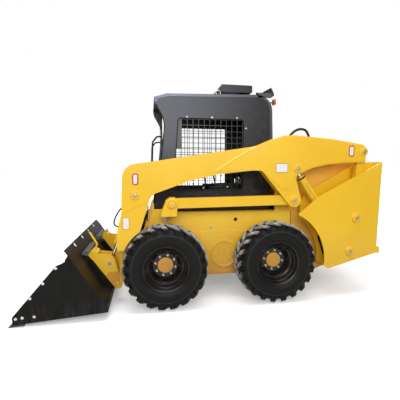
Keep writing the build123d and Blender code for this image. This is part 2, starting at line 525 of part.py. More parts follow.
def cylinder(base, tip, y, outer, rod, stop, eye_r, base_pin, tip_pin, back):
    """Cylinder from its base pivot to its rod's eye: barrel, then rod with piston, back mm from the eye."""
    wall = 7.0
    gland = 40.0
    length = hypot(tip[0] - base[0], tip[1] - base[1])
    half = LINK_W / 2
    barrel = strut(base, tip, eye_r - 4, stop, outer, y)
    barrel -= strut(base, tip, eye_r + 14, stop - gland, outer - wall, y)
    barrel -= strut(base, tip, stop - gland - 1, stop + 1, rod + RUN, y)
    barrel += round_bar(base, eye_r, y - half, y + half)
    barrel -= round_bar(base, base_pin + RUN, y - half - 1, y + half + 1)
    inner = eye_r + back
    moving = strut(base, tip, inner, length - eye_r + 6, rod, y)
    moving += strut(base, tip, inner, inner + 40, outer - wall - RUN, y)
    moving += round_bar(tip, eye_r, y - half, y + half)
    moving -= round_bar(tip, tip_pin + RUN, y - half - 1, y + half + 1)
    return barrel, moving


lift_barrel, lift_rod = cylinder(CYL_BASE, CYL_TIP, LINK_Y, 45, 22.5, 985, 46, PIN_R, PIN_R, 24)
tilt_barrel, tilt_rod = cylinder(TILT_TOP, TILT_EYE, CYL_Y, 41, 17, 556, 38, TILT_PIN_R, TILT_PIN_R, 82)
save("lift_barrels", pair(lift_barrel))
save("lift_rods", pair(lift_rod))
save("tilt_barrels", pair(tilt_barrel))
save("tilt_rods", pair(tilt_rod))

# ---------------------------------------------------------------- hitch and bucket
FACE_TOP = (FRONT + 707, 460)
FACE_LOW = (FRONT + 510, 179)
ear_outline = [FACE_TOP, FACE_LOW, (FRONT + 492, 150, 20), (HITCH[0] - 44, 168, 30),
               (HITCH[0] - 50, 250, 30), (FRONT + 468, 337),
               (FRONT + 499, 458, 20), (FRONT + 522, 505, 20), (FRONT + 657, 525)]
hitch = None
for low in (EAR_OUT, EAR_IN - EAR):
    ear = slab(ear_outline, low, low + EAR)
    ear -= round_bar(HITCH, TILT_PIN_R + RUN, low - 1, low + EAR + 1)
    hitch = ear if hitch is None else hitch + ear
FACE_T = 14.0
face = [FACE_LOW, along(FACE_LOW, FACE_TOP, 170)]
back_off = (-FACE_T * 0.82, FACE_T * 0.57)
face += [(p[0] + back_off[0], p[1] + back_off[1]) for p in reversed(face)]
block = [(FRONT + 657, 538, 8), (FRONT + 709, 568, 8), (FRONT + 764, 524, 8), (FRONT + 712, 462, 8),
         (FRONT + 680, 470, 8)]
hitch += slab(block, EAR_IN - EAR, EAR_OUT + EAR)
for low, high, reach in ((EAR_OUT - 4, EAR_OUT + 1, 26), (EAR_IN - 1, EAR_IN + 4, 26)):
    hitch += round_bar(TILT_EYE, reach, low, high)
middle_face = slab(face, EAR - EAR_IN - 1, EAR_IN - EAR + 1)
save("hitch", hitch + mirror(hitch, about=Plane.XZ) + middle_face)

hitch_pins = [round_bar(TILT_EYE, TILT_PIN_R - 4, EAR_OUT + EAR, EAR_OUT + EAR + 10)]
lever_y = EAR_OUT - 20
lever = tube_path([(FRONT + 690, lever_y, 560), (FRONT + 672, lever_y, 622), (FRONT + 741, lever_y, 746)],
                  [25], 10)
lever -= slab(block, EAR_IN - EAR, EAR_OUT + EAR)
folded = tube_path([(FRONT + 694, -lever_y, 560), (FRONT + 694, -lever_y, 590),
                    (FRONT + 700, 140 - lever_y, 590)], [18], 10)
folded -= slab(block, -EAR_OUT - EAR, EAR - EAR_IN)
save("hitch_levers", lever, folded, pair(*hitch_pins))

BUCKET_T = 12.0
SHELL_T = 10.0
LIP = (FRONT + 855, 617)
BACK_LOW = (FRONT + 618, 236)
HEEL_TOP = (FRONT + 530, 148)
HEEL = (FRONT + 531, 77)
TOE = (FRONT + 1327, 22)
cheek_outline = [TOE, (FRONT + 1331, 92, 10), (FRONT + 960, 529, 20), (FRONT + 912, 548, 10),
                 (FRONT + 864, 577), LIP, BACK_LOW,
                 HEEL_TOP, (HEEL[0], HEEL[1], 20)]
shell = [TOE, HEEL, HEEL_TOP, BACK_LOW, LIP]
shell_in = [(LIP[0] + 11, LIP[1] - 6), (BACK_LOW[0] + 9, BACK_LOW[1] - 5),
            (HEEL_TOP[0] + SHELL_T, HEEL_TOP[1] - 5),
            (HEEL[0] + SHELL_T, HEEL[1] + SHELL_T), (TOE[0], TOE[1] + SHELL_T)]
bucket = slab(shell + shell_in, -BUCKET_HALF, BUCKET_HALF)
for low in (-BUCKET_HALF, BUCKET_HALF - BUCKET_T):
    bucket += slab(cheek_outline, low, low + BUCKET_T)
# Receiver on the bucket's back, which the hitch face bears on.
receiver = [(FACE_LOW[0] + 0.3, FACE_LOW[1] - 0.2), (FACE_TOP[0] + 0.3, FACE_TOP[1] - 0.2),
            (FRONT + 764, 450),
            along(BACK_LOW, LIP, 200), along(BACK_LOW, LIP, 4), along(BACK_LOW, HEEL_TOP, 40)]
for low in (-EAR_OUT - EAR - 20, EAR_IN - EAR - 20):
    bucket += slab(receiver, low, low + LEG_W + 2 * EAR + 2 * EAR_GAP + 40)
save("bucket", bucket)

EDGE_T = 16.0
edge = slab([(TOE[0] - 90, TOE[1] + 7 - 0.5), (TOE[0], TOE[1]), (TOE[0] + 6, TOE[1] + 10),
             (FRONT + TIP_X, 5),
             (TOE[0] - 92, TOE[1] - 10)], -BUCKET_HALF, BUCKET_HALF)
save("cutting_edge", edge - bucket)

# ---------------------------------------------------------------- hoses held at both ends
HOSE_Y = LINK_Y - 20
boom_route = [(-140, HOSE_Y, 1700), (-195, HOSE_Y, 1768), (-285, HOSE_Y, 1800), (-360, HOSE_Y, 1768),
              (-374, HOSE_Y, 1690)]
boom_hose = tube_path(boom_route, [70, 90, 60], 13) - slab(arm_outline, ARM_IN, ARM_OUT)
save("boom_hose", boom_hose.solids().sort_by(Axis.Z)[-1])

tilt_route = [(FRONT + 400, 560, 1010), (FRONT + 450, 560, 960), (FRONT + 505, 560, 850),
              (FRONT + 490, 560, 800), (FRONT + 440, 560, 790)]
tilt_hose = tube_path(tilt_route, [40, 50, 20], 8) - slab(cross, LEG_OUT - CHEEK, ARM_IN + 1)
save("tilt_hoses", pair(tilt_hose.solids().sort_by(Axis.X)[-1]))

cab_route = [(30, 150, 2160), (-40, 150, 2195), (-104, 150, 2130), (-118, 150, 1950), (-116, 150, 1700),
             (-106, 150, 1480),
             (-112, 150, 1280)]
cab_hose = tube_path(cab_route, [45, 60, 120, 300, 300], 11)
cab_hose -= slab(cab_outline, -CAB_HALF, CAB_HALF) + cover
save("cab_hose", cab_hose.solids().sort_by(Axis.Z)[-1])
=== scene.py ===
import json

import bmesh
import bpy
import numpy as np
from mathutils import Matrix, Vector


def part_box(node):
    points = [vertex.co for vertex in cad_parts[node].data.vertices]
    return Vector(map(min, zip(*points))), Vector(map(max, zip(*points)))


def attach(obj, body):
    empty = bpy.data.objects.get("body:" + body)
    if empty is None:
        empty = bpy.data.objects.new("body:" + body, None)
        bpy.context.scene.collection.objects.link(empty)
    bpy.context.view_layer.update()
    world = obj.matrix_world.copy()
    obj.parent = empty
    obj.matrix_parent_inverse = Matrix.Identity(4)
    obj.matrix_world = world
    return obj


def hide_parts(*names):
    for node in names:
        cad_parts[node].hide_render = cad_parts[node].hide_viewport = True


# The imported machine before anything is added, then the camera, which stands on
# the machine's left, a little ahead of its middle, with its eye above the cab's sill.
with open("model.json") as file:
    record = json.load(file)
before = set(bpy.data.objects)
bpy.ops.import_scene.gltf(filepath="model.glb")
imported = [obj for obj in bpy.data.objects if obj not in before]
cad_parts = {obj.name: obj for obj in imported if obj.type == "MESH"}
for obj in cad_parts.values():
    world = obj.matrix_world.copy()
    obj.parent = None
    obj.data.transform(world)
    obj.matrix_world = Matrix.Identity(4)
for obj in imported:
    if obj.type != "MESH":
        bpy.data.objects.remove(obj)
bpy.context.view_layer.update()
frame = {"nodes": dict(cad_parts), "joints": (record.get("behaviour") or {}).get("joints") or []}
pivot = {joint["name"]: np.array(joint["pos_m"]) for joint in frame["joints"] if "pos_m" in joint}

CAMERA_PLACE = (0.6238, 4.0998, 1.3953)
CAMERA_YAW, CAMERA_PITCH, CAMERA_ROLL = -0.1952, -0.0955, 0.0028
forward = np.array([np.sin(CAMERA_YAW) * np.cos(CAMERA_PITCH), -np.cos(CAMERA_YAW) * np.cos(CAMERA_PITCH),
                    np.sin(CAMERA_PITCH)])
level = np.cross(forward, (0.0, 0.0, 1.0))
level /= np.linalg.norm(level)
upright = np.cross(level, forward)
rolled = np.cos(CAMERA_ROLL) * level + np.sin(CAMERA_ROLL) * upright
lens = bpy.data.cameras.new("camera")
lens.lens = 30.914
lens.sensor_width = 36.0
lens.shift_x = -0.0445
camera = bpy.data.objects.new("camera", lens)
axes = np.array([rolled, np.cross(rolled, forward), -forward]).T
camera.matrix_world = Matrix([[*axes[i], CAMERA_PLACE[i]] for i in range(3)] + [[0, 0, 0, 1]])
bpy.context.scene.collection.objects.link(camera)
bpy.context.scene.camera = camera


# Tyres: four 12-16.5 pneumatic tyres of carbon-black rubber, moulded with slanted tread bars
# that wrap over both shoulders. Grey dust lies on the bars, and the walls stay dark.
def linear(code):
    """Scene-linear colour of an sRGB hex code: each channel goes through the sRGB curve."""
    channel = np.array([int(code[i:i + 2], 16) for i in (1, 3, 5)]) / 255
    curve = np.where(channel <= 0.04045, channel / 12.92, ((channel + 0.055) / 1.055) ** 2.4)
    return (*curve.tolist(), 1.0)


def add(tree, kind, values=(), links=(), **settings):
    """Adds one shader node, with its settings, its socket values and the sockets that feed it."""
    node = tree.nodes.new("ShaderNode" + kind)
    for name, value in settings.items():
        setattr(node, name, value)
    for socket, value in dict(values).items():
        node.inputs[socket].default_value = value
    for socket, source in dict(links).items():
        tree.links.new(source, node.inputs[socket])
    return node


def blank_material(name):
    """An empty node material, and its tree."""
    material = bpy.data.materials.new(name)
    material.use_nodes = True
    material.node_tree.nodes.clear()
    return material, material.node_tree


def quads(rows, columns, rows_meet, columns_meet):
    """Faces of a grid of points: each joins a point to its neighbours, and a direction that meets
    joins its last line to its first."""
    r = np.arange(rows if rows_meet else rows - 1)[:, None]
    c = np.arange(columns if columns_meet else columns - 1)[None, :]
    down, across = (r + 1) % rows, (c + 1) % columns
    return np.stack([r * columns + c, r * columns + across, down * columns + across, down * columns + c],
                    axis=-1).reshape(-1, 4).tolist()


def joined(shapes):
    """Several (points, faces) shapes as one."""
    counts = np.cumsum([0] + [len(points) for points, faces in shapes])
    faces = [[i + start for i in face] for start, shape in zip(counts, shapes) for face in shape[1]]
    return np.concatenate([points for points, faces in shapes]), faces


def mirrored(shape):
    """A shape and its mirror image across the machine's centre plane."""
    points, faces = shape
    return joined([shape, (points * (1, -1, 1), faces)])


def piece(name, shape, material, body, corner=0.6):
    """A mesh object from a shape, closed at its seams and poles, with its faces outwards. It is smooth
    except where faces meet at more than corner radians, and it rides on a body."""
    points, faces = shape
    mesh = bpy.data.meshes.new(name)
    mesh.from_pydata(points.tolist(), [], faces)
    form = bmesh.new()
    form.from_mesh(mesh)
    bmesh.ops.remove_doubles(form, verts=form.verts, dist=1e-6)
    bmesh.ops.dissolve_degenerate(form, edges=form.edges, dist=1e-6)
    bmesh.ops.recalc_face_normals(form, faces=form.faces)
    form.to_mesh(mesh)
    form.free()
    mesh.polygons.foreach_set("use_smooth", np.ones(len(mesh.polygons), bool))
    mesh.set_sharp_from_angle(angle=corner)
    mesh.materials.append(material)
    made = bpy.data.objects.new(name, mesh)
    bpy.context.scene.collection.objects.link(made)
    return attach(made, body)


WHEELS = [f"wheel_{end}_{side}" for end in ("front", "rear") for side in ("left", "right")]
TYRE_HALF = 0.1515
TYRE_R = 0.4175
BARS = 21
BAR_HEIGHT = 0.028
BAR_SLANT = 0.24            # radians of turn between a bar's root and its end
BAR_ROOT_R = 0.342          # where the bars run out on the wall
# Raised rings moulded on the wall, as radius and height, and how fast each falls off.
WALL_RINGS = ((0.230, 0.004), (0.262, 0.004), (0.331, 0.005))
RING_WIDTH = 0.003
# Half of the wall's section: distance from the tyre's middle plane, and radius, in millimetres.
WALL = np.array([(121, 212), (122, 217), (127, 226), (136, 240), (144, 256), (149, 272), (151, 295),
                 (150.6, 318), (147.5, 336), (142, 352), (133, 366), (120, 377), (104, 384),
                 (84, 387.5), (58, 389), (28, 389.5), (0, 389.5)]) / 1000


def wheel_place(wheel):
    """A wheel's centre, and which way is out along Y: 1 on the left and -1 on the right."""
    low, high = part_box("tyre" + wheel[5:])
    return np.array((low + high) / 2), 1 if wheel.endswith("left") else -1


def tyre_shape(centre, side):
    """Surface of (turn, way round the section). The section is the wall's curve with thin raised rings,
    and its normal carries the tread: a bar's height where the turn lies within the bar's slanted path,
    falling off down the shoulder."""
    steps = np.concatenate([[0], np.cumsum(np.hypot(*np.diff(WALL, axis=0).T))])
    way = np.linspace(0, steps[-1], 36)
    across, radius = (np.interp(way, steps, WALL[:, i]) for i in (0, 1))
    for ring, height in WALL_RINGS:
        across = across + height * np.exp(-((radius - ring) / RING_WIDTH) ** 2)
    across = np.minimum(across, TYRE_HALF)
    across = np.concatenate([across, -across[-2::-1]])
    radius = np.concatenate([radius, radius[-2::-1]])
    out = np.stack([np.gradient(radius), -np.gradient(across)])
    out /= np.linalg.norm(out, axis=0)
    turn = np.linspace(0, 2 * np.pi, 756, endpoint=False)[:, None]
    share = np.abs(across)[None, :] / TYRE_HALF
    stagger = np.where(across > 0, 0.0, np.pi / BARS)[None, :]
    lead = BAR_SLANT * (1 - np.clip(share, 0, 0.85) / 0.85)
    offset = np.mod(turn - stagger - lead + np.pi / BARS, 2 * np.pi / BARS) - np.pi / BARS
    half_width = 0.019 + 0.012 * np.clip((share - 0.35) / 0.5, 0, 1)
    inside = np.clip((half_width - np.abs(offset) * 0.41) / 0.005 + 0.5, 0, 1)
    reach = np.clip((radius - BAR_ROOT_R) / 0.016, 0, 1) * np.clip((np.abs(across) - 0.004) / 0.004, 0, 1)
    height = BAR_HEIGHT * inside * reach[None, :]
    y = np.clip(across + height * out[0], -TYRE_HALF, TYRE_HALF)
    r = np.minimum(radius + height * out[1], TYRE_R)
    x, z = centre[0] + r * np.sin(turn), centre[2] + r * np.cos(turn)
    points = np.stack([x, centre[1] + side * y, z], axis=-1)
    return points.reshape(-1, 3), quads(len(turn), len(across), True, True)


def rubber(name, centre):
    """Vulcanised rubber, near black and matt. Dust lies on the bars by their distance from the axle and
    thins by noise, a paler line along the ring below the bars is a painted highlight, and fine rings and
    grain show in the bump."""
    material, tree = blank_material(name)
    place = add(tree, "TexCoord").outputs["Object"]
    centred = add(tree, "Mapping", {"Location": (-centre[0], 0.0, -centre[2])}, {"Vector": place})
    flat = add(tree, "VectorMath", {1: (1.0, 0.0, 1.0)}, {0: centred.outputs["Vector"]}, operation="MULTIPLY")
    away = add(tree, "VectorMath", (), {0: flat.outputs["Vector"]}, operation="LENGTH")
    on_bar = add(tree, "MapRange", {1: 0.392, 2: 0.412}, {0: away.outputs["Value"]})
    patches = add(tree, "TexNoise", {"Scale": 22.0, "Detail": 6.0, "Roughness": 0.7}, {"Vector": place})
    worn = add(tree, "MapRange", {1: 0.33, 2: 0.58, 3: 0.2, 4: 1.0}, {0: patches.outputs["Fac"]})
    dust = add(tree, "Math", (), {0: on_bar.outputs["Result"], 1: worn.outputs["Result"]},
               operation="MULTIPLY")
    # A paler line along the raised ring below the bars, the same all round: a painted highlight.
    crown = add(tree, "MapRange", {1: 0.323, 2: 0.328}, {0: away.outputs["Value"]})
    past = add(tree, "MapRange", {1: 0.331, 2: 0.336, 3: 1.0, 4: 0.0}, {0: away.outputs["Value"]})
    band = add(tree, "Math", (), {0: crown.outputs["Result"], 1: past.outputs["Result"]},
               operation="MULTIPLY")
    wall = add(tree, "Mix", {"A": linear("#0d0c0b"), "B": linear("#312f2d")},
               {"Factor": band.outputs["Value"]}, data_type="RGBA")
    colour = add(tree, "Mix", {"B": linear("#bdbab8")}, {"Factor": dust.outputs["Value"]}, data_type="RGBA")
    tree.links.new(wall.outputs["Result"], colour.inputs["A"])
    grain = add(tree, "TexNoise", {"Scale": 260.0, "Detail": 3.0}, {"Vector": place})
    rings = add(tree, "Math", {1: 620.0}, {0: away.outputs["Value"]}, operation="MULTIPLY")
    ripple = add(tree, "Math", (), {0: rings.outputs["Value"]}, operation="SINE")
    relief = add(tree, "Math", {1: 0.12}, {0: ripple.outputs["Value"], 2: grain.outputs["Fac"]},
                 operation="MULTIPLY_ADD")
    bump = add(tree, "Bump", {"Strength": 0.35, "Distance": 0.001}, {"Height": relief.outputs["Value"]})
    shader = add(tree, "BsdfPrincipled", {"Roughness": 0.5, "Specular IOR Level": 0.18},
                 {"Base Color": colour.outputs["Result"], "Normal": bump.outputs["Normal"]})
    add(tree, "OutputMaterial", (), {"Surface": shader.outputs["BSDF"]})
    return material


for wheel in WHEELS:
    centre, side = wheel_place(wheel)
    material = rubber("tyre_rubber" + wheel[5:], centre)
    tyre = piece("tread" + wheel[5:], tyre_shape(centre, side), material, wheel, 0.5)
    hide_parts("tyre" + wheel[5:])


# Rims: pressed steel with a deep dish, sprayed with black enamel, held to the hub by eight
# zinc-plated flange nuts round an ochre hub cap, with the valve's stem on the disc.
def turned(profile, centre, steps=96, start=0.0):
    """Ring about a line along Y: each (Y, radius) of the profile is carried round the circle."""
    profile = np.asarray(profile, float)
    turn = start + np.linspace(0, 2 * np.pi, steps, endpoint=False)[:, None]
    points = np.stack([centre[0] + profile[:, 1] * np.sin(turn), centre[1] + profile[:, 0] + 0 * turn,
                       centre[2] + profile[:, 1] * np.cos(turn)], axis=-1)
    return points.reshape(-1, 3), quads(steps, len(profile), True, True)


def painted_steel(name, colour, dull, roughness, coat=0.0, dust="#a08a63", dirt_and_shade_top=0.0, dirt_and_shade=0.0,
                  specular=0.5):
    """Sprayed enamel on steel plate: slow changes of shade, orange peel about 5 mm across in the bump,
    and a dust colour that thickens from dirt_and_shade_top down to the ground and breaks up by noise:
    partly dirt, and partly painted shade on the lower, under-lit plates."""
    material, tree = blank_material(name)
    place = add(tree, "TexCoord").outputs["Object"]
    clouds = add(tree, "TexNoise", {"Scale": 2.2, "Detail": 5.0, "Roughness": 0.6}, {"Vector": place})
    shade = add(tree, "MapRange", {1: 0.35, 2: 0.75}, {0: clouds.outputs["Fac"]})
    colours = add(tree, "Mix", {"A": linear(colour), "B": linear(dull)}, {"Factor": shade.outputs["Result"]},
                  data_type="RGBA")
    height = add(tree, "SeparateXYZ", (), {"Vector": place})
    # Darker dust colour low down: partly dirt, and partly painted shade on the lower, under-lit plates.
    low_down = add(tree, "MapRange", {1: dirt_and_shade_top, 2: 0.1}, {0: height.outputs["Z"]})
    specks = add(tree, "TexNoise", {"Scale": 30.0, "Detail": 8.0, "Roughness": 0.7}, {"Vector": place})
    thick = add(tree, "MapRange", {1: 0.3, 2: 0.6, 3: 0.6, 4: 1.0}, {0: specks.outputs["Fac"]})
    dirt_and_shade_mask = add(tree, "Math", (), {0: low_down.outputs["Result"], 1: thick.outputs["Result"]},
                  operation="MULTIPLY")
    amount = add(tree, "Math", {1: dirt_and_shade}, {0: dirt_and_shade_mask.outputs["Value"]}, operation="MULTIPLY")
    dusty = add(tree, "Mix", {"B": linear(dust)},
                {"Factor": amount.outputs["Value"], "A": colours.outputs["Result"]}, data_type="RGBA")
    gloss = add(tree, "MapRange", {1: 0.3, 2: 0.8, 3: roughness - 0.05, 4: roughness + 0.09},
                {0: specks.outputs["Fac"]})
    peel = add(tree, "TexNoise", {"Scale": 190.0, "Detail": 2.0}, {"Vector": place})
    bump = add(tree, "Bump", {"Strength": 0.05, "Distance": 0.001}, {"Height": peel.outputs["Fac"]})
    shader = add(tree, "BsdfPrincipled",
                 {"Coat Weight": coat, "Coat Roughness": 0.12, "Specular IOR Level": specular},
                 {"Base Color": dusty.outputs["Result"], "Roughness": gloss.outputs["Result"],
                  "Normal": bump.outputs["Normal"]})
    add(tree, "OutputMaterial", (), {"Surface": shader.outputs["BSDF"]})
    return material


def bare_metal(name, colour, stain, roughness):
    """Plated or bright steel: a metal whose colour and roughness change with fine stains."""
    material, tree = blank_material(name)
    place = add(tree, "TexCoord").outputs["Object"]
    stains = add(tree, "TexNoise", {"Scale": 60.0, "Detail": 5.0}, {"Vector": place})
    tone = add(tree, "MapRange", {1: 0.3, 2: 0.75, 3: roughness, 4: roughness + 0.18},
               {0: stains.outputs["Fac"]})
    colours = add(tree, "Mix", {"A": linear(colour), "B": linear(stain)}, {"Factor": stains.outputs["Fac"]},
                  data_type="RGBA")
    shader = add(tree, "BsdfPrincipled", {"Metallic": 1.0},
                 {"Base Color": colours.outputs["Result"], "Roughness": tone.outputs["Result"]})
    add(tree, "OutputMaterial", (), {"Surface": shader.outputs["BSDF"]})
    return material


def coat_nodes(material, *nodes):
    """Gives CAD nodes a finish."""
    for name in nodes:
        frame["nodes"][name].data.materials.clear()
        frame["nodes"][name].data.materials.append(material)


black_enamel = painted_steel("black_rim_enamel", "#0f0d0c", "#151211", 0.30, 0.15, specular=0.3)
hub_ochre = painted_steel("ochre_hub_enamel", "#e2a644", "#cd923a", 0.5, 0.0, "#8b6a3a", 0.9, 0.3)
zinc = bare_metal("zinc_plated_steel", "#c3bfb7", "#827d74", 0.34)
bright_zinc = bare_metal("bright_zinc_nut", "#f2efe8", "#c9c4ba", 0.42)

# The dish, from the outer lip in over the bead seat, down the well to the disc, and back behind it.
DISH = np.array([(133.5, 223), (131, 226), (126, 225), (123, 214), (119, 207), (104, 205), (92, 200),
                 (84, 189), (60, 183), (48, 180), (40, 170), (33, 158), (22, 152), (6, 148), (-10, 140),
                 (-22, 132), (-31, 122), (-33.5, 82), (-39, 80), (-44, 100), (-40, 126), (-30, 144),
                 (-14, 156), (20, 162), (36, 186), (60, 192), (90, 206), (112, 211.5), (-124, 211.5),
                 (-131, 224), (-133.5, 220), (-128, 206), (118, 205.5), (128, 212)]) / 1000
NUTS = 8
NUT_CIRCLE = 0.1015
DISC_Y = -0.0335            # outer face of the disc, from the tyre's middle plane
FIRST_NUT = {"front": -0.22, "rear": -0.145}
VALVE = (-0.118, 0.034, 0.113)
CAP = [(-0.022, 0), (-0.022, 0.076), (-0.021, 0.0775), (-0.019, 0.0765), (-0.017, 0.068), (-0.0165, 0.02),
       (-0.018, 0.012), (-0.018, 0)]
STEM = [(-0.03, 0), (-0.03, 0.008), (0.0, 0.006), (0.004, 0.008), (0.018, 0.008), (0.02, 0)]


def nut(centre, side, start):
    """Flanged hex nut on its stud, its axis along Y: a skirt, six flats, and the stud's domed end."""
    skirt = [(0, 0), (0, 0.0135), (0.003, 0.0135), (0.006, 0.0105), (0.006, 0)]
    flats = [(0.005, 0), (0.005, 0.0105), (0.015, 0.0105), (0.018, 0.009), (0.018, 0)]
    stud = [(0.017, 0), (0.017, 0.006), (0.023, 0.006), (0.025, 0.004), (0.025, 0)]
    shapes = [turned(skirt, (0, 0, 0), 24), turned(flats, (0, 0, 0), 6, start), turned(stud, (0, 0, 0), 16)]
    points, faces = joined(shapes)
    return points * (1, side, 1) + centre, faces


for wheel in WHEELS:
    centre, side = wheel_place(wheel)
    points, faces = turned(DISH, (0, 0, 0), 128)
    dish = piece("dish" + wheel[5:], (points * (1, side, 1) + centre, faces), black_enamel, wheel)
    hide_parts("rim" + wheel[5:])
    angles = FIRST_NUT[wheel.split("_")[1]] + np.arange(NUTS) * 2 * np.pi / NUTS
    out = np.full(NUTS, side * DISC_Y)
    places = centre + np.stack([NUT_CIRCLE * np.sin(angles), out, NUT_CIRCLE * np.cos(angles)], 1)
    nuts = joined([nut(place, side, angle) for place, angle in zip(places, angles)])
    piece("nuts" + wheel[5:], nuts, bright_zinc, wheel, 0.5)
    points, faces = turned(CAP, (0, 0, 0), 64)
    piece("cap" + wheel[5:], (points * (1, side, 1) + centre, faces), hub_ochre, wheel)
    points, faces = turned(STEM, (0, 0, 0), 16)
    place = centre + np.array(VALVE) * (1, side, 1)
    piece("valve" + wheel[5:], (points * (1, side, 1) + place, faces), black_enamel, wheel)
    coat_nodes(hub_ochre, "axle" + wheel[5:])

# Chassis, towers and covers: cut and bent steel plate, welded and then sprayed machine yellow.
# Low down on the body sides, between and behind the wheels, the paint turns ochre: partly road dirt,
# and partly painted shade on the under-lit lower plates. The body sides' yellow is a lighter copy,
# painted light where the arms shade them, and the bay sides' a darker, more orange copy, painted shade.
yellow = painted_steel("machine_yellow_enamel", "#f5c41f", "#eebb1b", 0.36, 0.25, "#b98a3c", 0.75, 0.25)
# A lighter copy of the machine yellow for the body sides: painted light where the arms shade them.
body_yellow_painted_light = painted_steel("body_yellow_enamel", "#ffd333", "#f6c02a", 0.45, 0.1, "#b87c2c", 0.90, 1.1)
# A darker, more orange copy of the machine yellow for the inboard bay sides: painted shade.
bay_yellow_painted_shade = painted_steel("bay_side_painted_shade_enamel", "#f2b83a", "#e3a838", 0.5, 0.0, "#a8823f", 1.1, 0.5)
coat_nodes(yellow, "deck_ledges", "link_brackets", "rear_towers", "engine_cover", "rear_bumper",
           "rear_door", "chassis_pins", "arm_pins", "lift_arms", "arm_cross_tubes", "lower_links",
           "rear_links", "lift_barrels", "tilt_barrels", "hitch", "hitch_levers")
coat_nodes(body_yellow_painted_light, "chassis_sides", "chain_cases", "belly_sheet")
coat_nodes(bay_yellow_painted_shade, "engine_bay_sides")
coat_nodes(zinc, "door_hinges", "lifting_ring")
coat_nodes(painted_steel("engine_grey_enamel", "#3d4043", "#2f3133", 0.5, 0.0, "#4a433c", 0.9, 0.4), "engine")


# Welds and seams: fillet beads laid by hand along the joints of the plates, painted over, and
# the open joint between the front and rear body plates.
def eased(points, cuts, closed=False, steps=7):
    """Line through the points in which each corner gives way to a parabola that starts and ends a
    cut's length from it."""
    points = np.asarray(points, float)
    cuts = np.broadcast_to(cuts, len(points))
    line = []
    for i, (point, cut) in enumerate(zip(points, cuts)):
        if cut == 0 or (not closed and i in (0, len(points) - 1)):
            line.append(point[None])
            continue
        before, after = points[i - 1] - point, points[(i + 1) % len(points)] - point
        start = point + before / np.linalg.norm(before) * cut
        end = point + after / np.linalg.norm(after) * cut
        t = np.linspace(0, 1, steps)[:, None]
        line.append((1 - t) ** 2 * start + 2 * t * (1 - t) * point + t ** 2 * end)
    return np.concatenate(line)


def tube(path, radius, sides=12):
    """Round bar along a line of points: circles square to the line, with each end drawn to a point."""
    path = np.asarray(path, float)
    radius = np.broadcast_to(radius, len(path))
    along = np.gradient(path, axis=0)
    along /= np.linalg.norm(along, axis=1)[:, None]
    across = np.cross(along, (0.13, 0.97, 0.21))
    across /= np.linalg.norm(across, axis=1)[:, None]
    other = np.cross(along, across)
    turn = np.linspace(0, 2 * np.pi, sides, endpoint=False)[None, :, None]
    circle = np.cos(turn) * across[:, None] + np.sin(turn) * other[:, None]
    rings = path[:, None] + radius[:, None, None] * circle
    ends = [np.broadcast_to(path[i], (1, sides, 3)) for i in (0, -1)]
    points = np.concatenate([ends[0], rings, ends[1]]).reshape(-1, 3)
    return points, quads(len(path) + 2, sides, False, True)


def bead(start, end, radius=0.004, ripple=0.007):
    """Weld bead: a bar whose radius swells and shrinks once every ripple's length."""
    start, end = np.asarray(start, float), np.asarray(end, float)
    length = np.linalg.norm(end - start)
    way = np.linspace(0, 1, max(int(length / ripple * 4), 8))[:, None]
    swell = 1 + 0.16 * np.sin(way[:, 0] * length / ripple * 2 * np.pi)
    return tube(start + (end - start) * way, radius * swell, 8)


def prism(corners, low, high):
    """Plate: an outline in the XZ plane carried along Y, with a face on each end."""
    corners = np.asarray(corners, float)
    count = len(corners)
    ends = [np.stack([corners[:, 0], np.full(count, y), corners[:, 1]], axis=-1) for y in (low, high)]
    caps = [list(range(count))[::-1], list(range(count, 2 * count))]
    return np.concatenate(ends), quads(2, count, False, True) + caps


# Outer faces of the arm plates, the tower plates and the body sides.
ARM_FACE, TOWER_FACE = 0.780, 0.800
BODY_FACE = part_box("chassis_sides")[1].y
arm_bead = bead((0.889, ARM_FACE, 0.956), (0.642, ARM_FACE, 1.082), 0.0035)
piece("arm_weld_beads", mirrored(arm_bead), yellow, "lift_arms")
body_beads = [bead((-0.93, BODY_FACE, 0.714), (0.64, BODY_FACE, 0.714)),
              bead((-0.05, BODY_FACE, 0.921), (0.37, BODY_FACE, 0.921), 0.003),
              bead((0.37, BODY_FACE + 0.001, 0.913), (0.52, BODY_FACE + 0.001, 0.913), 0.004)]
piece("body_weld_beads", mirrored(joined(body_beads)), body_yellow_painted_light, "chassis")
shut_line = painted_steel("shut_line_dark", "#3a2a14", "#2b2011", 0.7)
seam_line = [(-0.899, 0.716), (-0.893, 0.716), (-0.893, 0.918), (-0.899, 0.918)]
seam = prism(seam_line, BODY_FACE - 0.002, BODY_FACE + 0.0006)
piece("body_seams", mirrored(seam), shut_line, "chassis")

# Body side fittings: a pressed cover over the chain tensioner with a raised rim, the sleeve of
# the tie-down hole, a bolt beside it, and a thin black sheet of painted shadow where the slot in the
# wheel arch, through which hoses pass, opens.
BOSS_PLACE = (-0.145, 0.572, 0.474)
cover = [(0, 0), (0, 0.120), (0.002, 0.128), (0.006, 0.132), (0.008, 0.140), (0.006, 0.1475),
         (-0.004, 0.148), (-0.004, 0)]
piece("tensioner_covers", mirrored(turned(cover, BOSS_PLACE, 96)), body_yellow_painted_light, "chassis")
rust = painted_steel("rusted_sleeve", "#7a4322", "#5c3018", 0.8)
sleeve = [(-0.010, 0.0142), (-0.010, 0.019), (0.003, 0.0195), (0.004, 0.0175), (0.003, 0.0142)]
piece("tie_down_sleeves", mirrored(turned(sleeve, (-0.270, BODY_FACE, 0.839), 40)), rust, "chassis")


